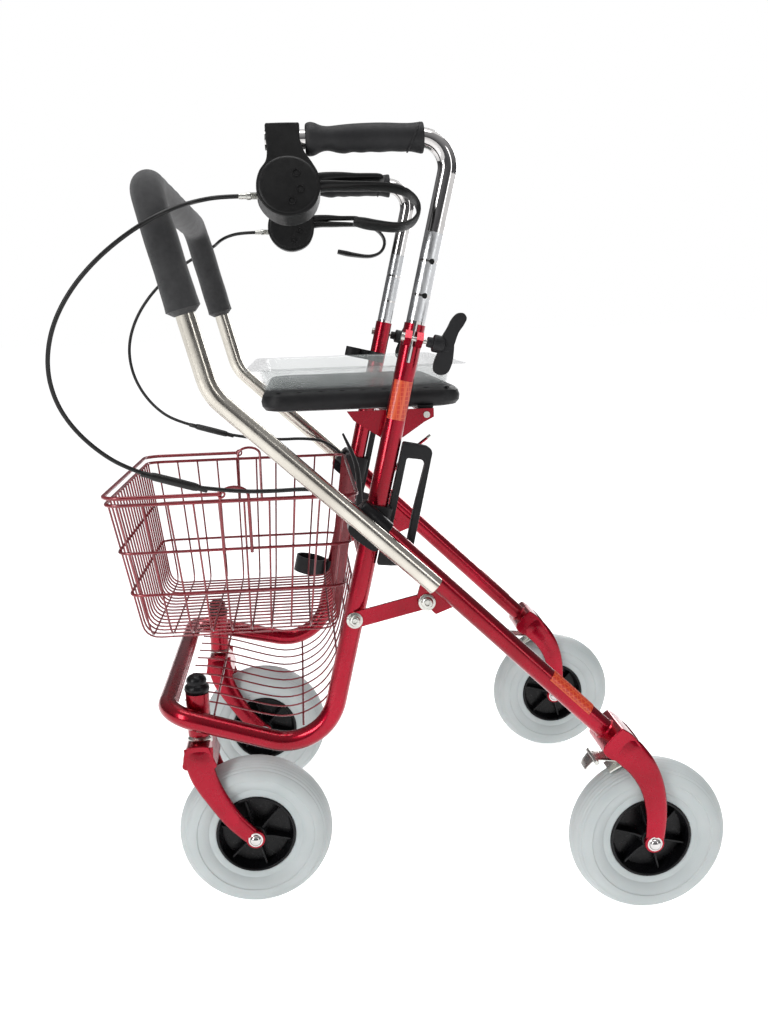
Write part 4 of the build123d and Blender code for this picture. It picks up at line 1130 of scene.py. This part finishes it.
# ---- stem caps, clamps, grab loops, fold lock and brake shoes ----
def stem_cap_shape(centre):
    """A moulded cap: a stepped foot, a broad ball and a smaller ball above it."""
    profile = mm([
        (-2, 13), (-1.8, 14.2), (0, 14.6), (0.6, 13.6), (2.4, 15.4), (5.5, 16.2), (8.8, 15.6), (11.2, 13.4),
        (12.2, 12.2), (13.4, 12.4), (16.4, 13.2), (19.6, 12.2), (22.6, 9.4), (24.6, 5.2), (25.4, 0.3),
    ])
    return lathe(centre, RISE, profile, 36)


def leg_clamp_shape(side):
    """A sleeve round the leg's front end and a jaw under the backrest tube."""
    sleeve = mm([(-30, 12.6), (-29, 14), (-27, 14.7), (-10, 15), (12.5, 15), (14.5, 14.6), (15, 12.8)])
    jaw = leg_outline([(-27, 6), (-28, 18), (-23, 25.5), (-10, 26.5), (10, 24.5), (17, 19.5), (15, 6)])
    ys = sorted((side * 0.262, side * 0.2915))
    return combine([lathe(leg_point(0, side), DOWN_LEG, sleeve, 40), slab(flat_curve(jaw, 3), *ys)])


def grab_loop_shape(side):
    """A closed frame behind the carriage: pairs of outer and inner edge points round its run."""
    edges = [
        ((10.5, 611), (6.7, 591)), ((-6, 607.5), (-3, 589.5)), ((-18, 604.5), (-10, 588.5)),
        ((-23.4, 601), (-13.6, 586.8)), ((-24.6, 595.5), (-14.8, 582)), ((-10, 532), (0, 530)),
        ((4.2, 470), (12.6, 476)), ((6.4, 462.8), (15, 471)), ((12, 458.2), (19, 469.6)),
        ((30, 458.6), (27, 471)), ((47.4, 460.5), (35.4, 474)), ((35.6, 509), (26.4, 509)),
        ((22.9, 561), (13.8, 561)),
    ]
    rings = []
    for outer, inner in edges:
        corners = ((outer, 226), (outer, 240.5), (inner, 240.5), (inner, 226))
        rings.append([Vector((x, side * y, z)) / 1000 for (x, z), y in corners])
    return loft(rings, closed=True)


def lock_hub_shape(centre):
    """The hub that turns on the lock rail, and the flat finger bar that stands up from it."""
    section = mm([(-9, 9.6), (-9, 12.5), (-8, 13.5), (8, 13.5), (9, 12.5), (9, 9.6)])
    bar = flat_curve(mm([(57, 478), (54, 510), (57, 554), (74, 598)]), 6, closed=False)
    finger = strip(bar, [0.0088, 0.0085, 0.0070, 0.0042], [0.0060, 0.0042, 0.0034, 0.0016], 4.0)
    return combine([ring_about(centre, ACROSS, section, 40), finger])


def brake_shoe_shape(side):
    """A bent spring plate on its pin, with a pad that follows the tyre."""
    plate = mm([(-246, 203), (-230, 205.5), (-214, 206.5), (-206, 200), (-202, 194)])
    axle = Vector(JOINTS["left_rear_wheel_spin"]["pos_m"])
    arc = []
    for degrees, radius in ((83, 0.1061), (77, 0.1054), (71, 0.1046), (65, 0.1038), (60, 0.1034)):
        angle = math.radians(degrees)
        arc.append((axle.x + radius * math.cos(angle), axle.z + radius * math.sin(angle)))
    pin = mm([(0, 2.6), (0.5, 3), (41.5, 3), (42, 2.6)])
    parts = [
        strip(flat_curve(plate, 5, closed=False), [0.0145, 0.0145, 0.0110], [0.0011] * 3, 6.0),
        strip(arc, [0.0145] * 3, [0.0018, 0.0020, 0.0018], 6.0),
        lathe(Vector((-0.214, -0.021, 0.206)), ACROSS, pin, 20),
    ]
    return shifted(combine(parts), ACROSS * side * LEG_Y)


def add_small_parts():
    """Caps, clamps, grab loops, fold lock and brake shoes in place of their plain solids."""
    caps, clamps, loops = [], [], []
    for name, side in SIDES:
        stem = Vector(JOINTS[f"{name}_caster_swivel"]["pos_m"])
        caps.append(stem_cap_shape(Vector((stem.x, stem.y, 0.292))))
        clamps.append(leg_clamp_shape(side))
        loops.append(grab_loop_shape(side))
        shoe = brake_shoe_shape(side)
        piece(f"{name}_brake_plate", shoe, ZINC, "brake_steel", f"{name}_shoe", f"{name}_brake_shoe")
    piece("stem_cap_balls", combine(caps), HUB, "gloss_black", "frame", "stem_caps")
    piece("leg_end_clamps", combine(clamps), HUB, "black_plastic", "rear_frame", "leg_clamps", bevel=0.0012)
    piece("grab_frames", combine(loops), PLASTIC, "black_plastic", "carriage", "grab_loops", bevel=0.0024)
    hub = lock_hub_shape(Vector(JOINTS["fold_lock_turn"]["pos_m"]))
    piece("lock_finger_bar", hub, PLASTIC, "black_plastic", "lock_lever", "fold_lock_lever", bevel=0.0006)
    release = flat_curve(mm([(51, 470), (22, 511), (-5, 553), (-30, 575), (-47.5, 588)]), 6, closed=False)
    arm = strip(release, [0.0085, 0.0070, 0.0045, 0.0040, 0.0040], [0.0030, 0.0022] + [0.0018] * 3, 4.0)
    piece("lock_release_arm", arm, PAINT, "black_plastic", "lock_lever")
    end = flat_curve(mm([(-46, 586.9), (-48.5, 588.8), (-51, 590.7)]), 4, closed=False)
    tip = strip(end, [0.0044, 0.0038], [0.0022, 0.0018], 3.0)
    piece("lock_release_tip", tip, ZINC, "black_plastic", "lock_lever")


add_small_parts()
add_wheels()
add_front_forks()
add_rear_forks()
add_fasteners()
add_handles()

# ---- CAD nodes that keep their shape ----
paint(PAINT, "front_frame", "cross_tubes", "seat_brackets", "stem_sockets", "rear_legs", "link_bars")
paint(WIRE, "basket_handle")
paint(CHROME, "left_handle_post", "right_handle_post")
paint(NICKEL, "backrest_tube")
paint(ZINC, "clamp_bolts", "seat_hinge_rod")
paint(REFLECTOR, "frame_reflectors", "leg_reflectors")
paint(PLASTIC, "cane_clip", "cane_cup", "carriages")
paint(HUB, "leg_plugs")


# ---- floor and light ----
def add_floor():
    """A white studio floor that also sends some light back up."""
    mesh = bpy.data.meshes.new("floor")
    size = 40.0
    corners = [(-size, -size, 0), (size, -size, 0), (size, size, 0), (-size, size, 0)]
    mesh.from_pydata(corners, [], [(0, 1, 2, 3)])
    floor = add_object("floor", mesh)
    white = surface(
        "studio_floor", grey(0.78), grey(0.82), (0.7, 0.9), 40, 0.02,
        Emission_Color=(1, 1, 1, 1), Emission_Strength=0.66, Specular_IOR_Level=0.1,
    )
    mesh.materials.append(white)


def add_softbox(name, place, target, size, power):
    """A rectangular lamp aimed at a point, large enough to show as a streak on the tubes."""
    lamp = bpy.data.lights.new(name, "AREA")
    lamp.shape = "RECTANGLE"
    lamp.size, lamp.size_y = size
    lamp.energy = power
    holder = add_object(name, lamp)
    holder.location = place
    holder.rotation_euler = (Vector(target) - Vector(place)).to_track_quat("-Z", "Y").to_euler()


def add_sun():
    """A wide, weak sun that keeps the whole floor evenly lit."""
    lamp = bpy.data.lights.new("even_sun", "SUN")
    lamp.energy = 0.6
    lamp.angle = math.radians(60)
    add_object("even_sun", lamp).rotation_euler = (math.radians(20), math.radians(-12), 0)


def add_world():
    """A white backdrop for the camera, and for reflections a room that is dim low down and bright above."""
    world = bpy.data.worlds.new("studio")
    bpy.context.scene.world = world
    world.use_nodes = True
    tree = world.node_tree
    backdrop = tree.nodes["Background"]
    set_inputs(backdrop, {"Color": (1, 1, 1, 1), "Strength": 1.0})
    room = node(tree, "Background", Strength=1.0)
    split = node(tree, "SeparateXYZ")
    height = node(tree, "MapRange", From_Min=0.10, From_Max=0.85)
    tree.links.new(node(tree, "TexCoord").outputs["Generated"], split.inputs["Vector"])
    tree.links.new(split.outputs["Z"], height.inputs["Value"])
    shade = mix_colour(tree, height.outputs["Result"], (0.10, 0.10, 0.105), (0.46, 0.46, 0.47))
    tree.links.new(shade, room.inputs["Color"])
    choice = node(tree, "MixShader")
    tree.links.new(node(tree, "LightPath").outputs["Is Camera Ray"], choice.inputs["Fac"])
    tree.links.new(room.outputs["Background"], choice.inputs[1])
    tree.links.new(backdrop.outputs["Background"], choice.inputs[2])
    tree.links.new(choice.outputs["Shader"], tree.nodes["World Output"].inputs["Surface"])


bpy.context.scene.view_settings.view_transform = "Standard"
add_floor()
add_world()
add_sun()
MIDDLE = (0.0, 0.0, 0.5)
add_softbox("key_left", (2.2, 2.0, 1.7), MIDDLE, (0.7, 2.0), 44)
add_softbox("fill_right", (-2.0, 2.2, 1.3), MIDDLE, (0.4, 2.0), 9)
add_softbox("overhead", (0.1, 0.3, 2.6), MIDDLE, (1.8, 0.7), 20)
add_softbox("back_rim", (-1.2, -2.2, 1.5), MIDDLE, (0.6, 1.8), 22)
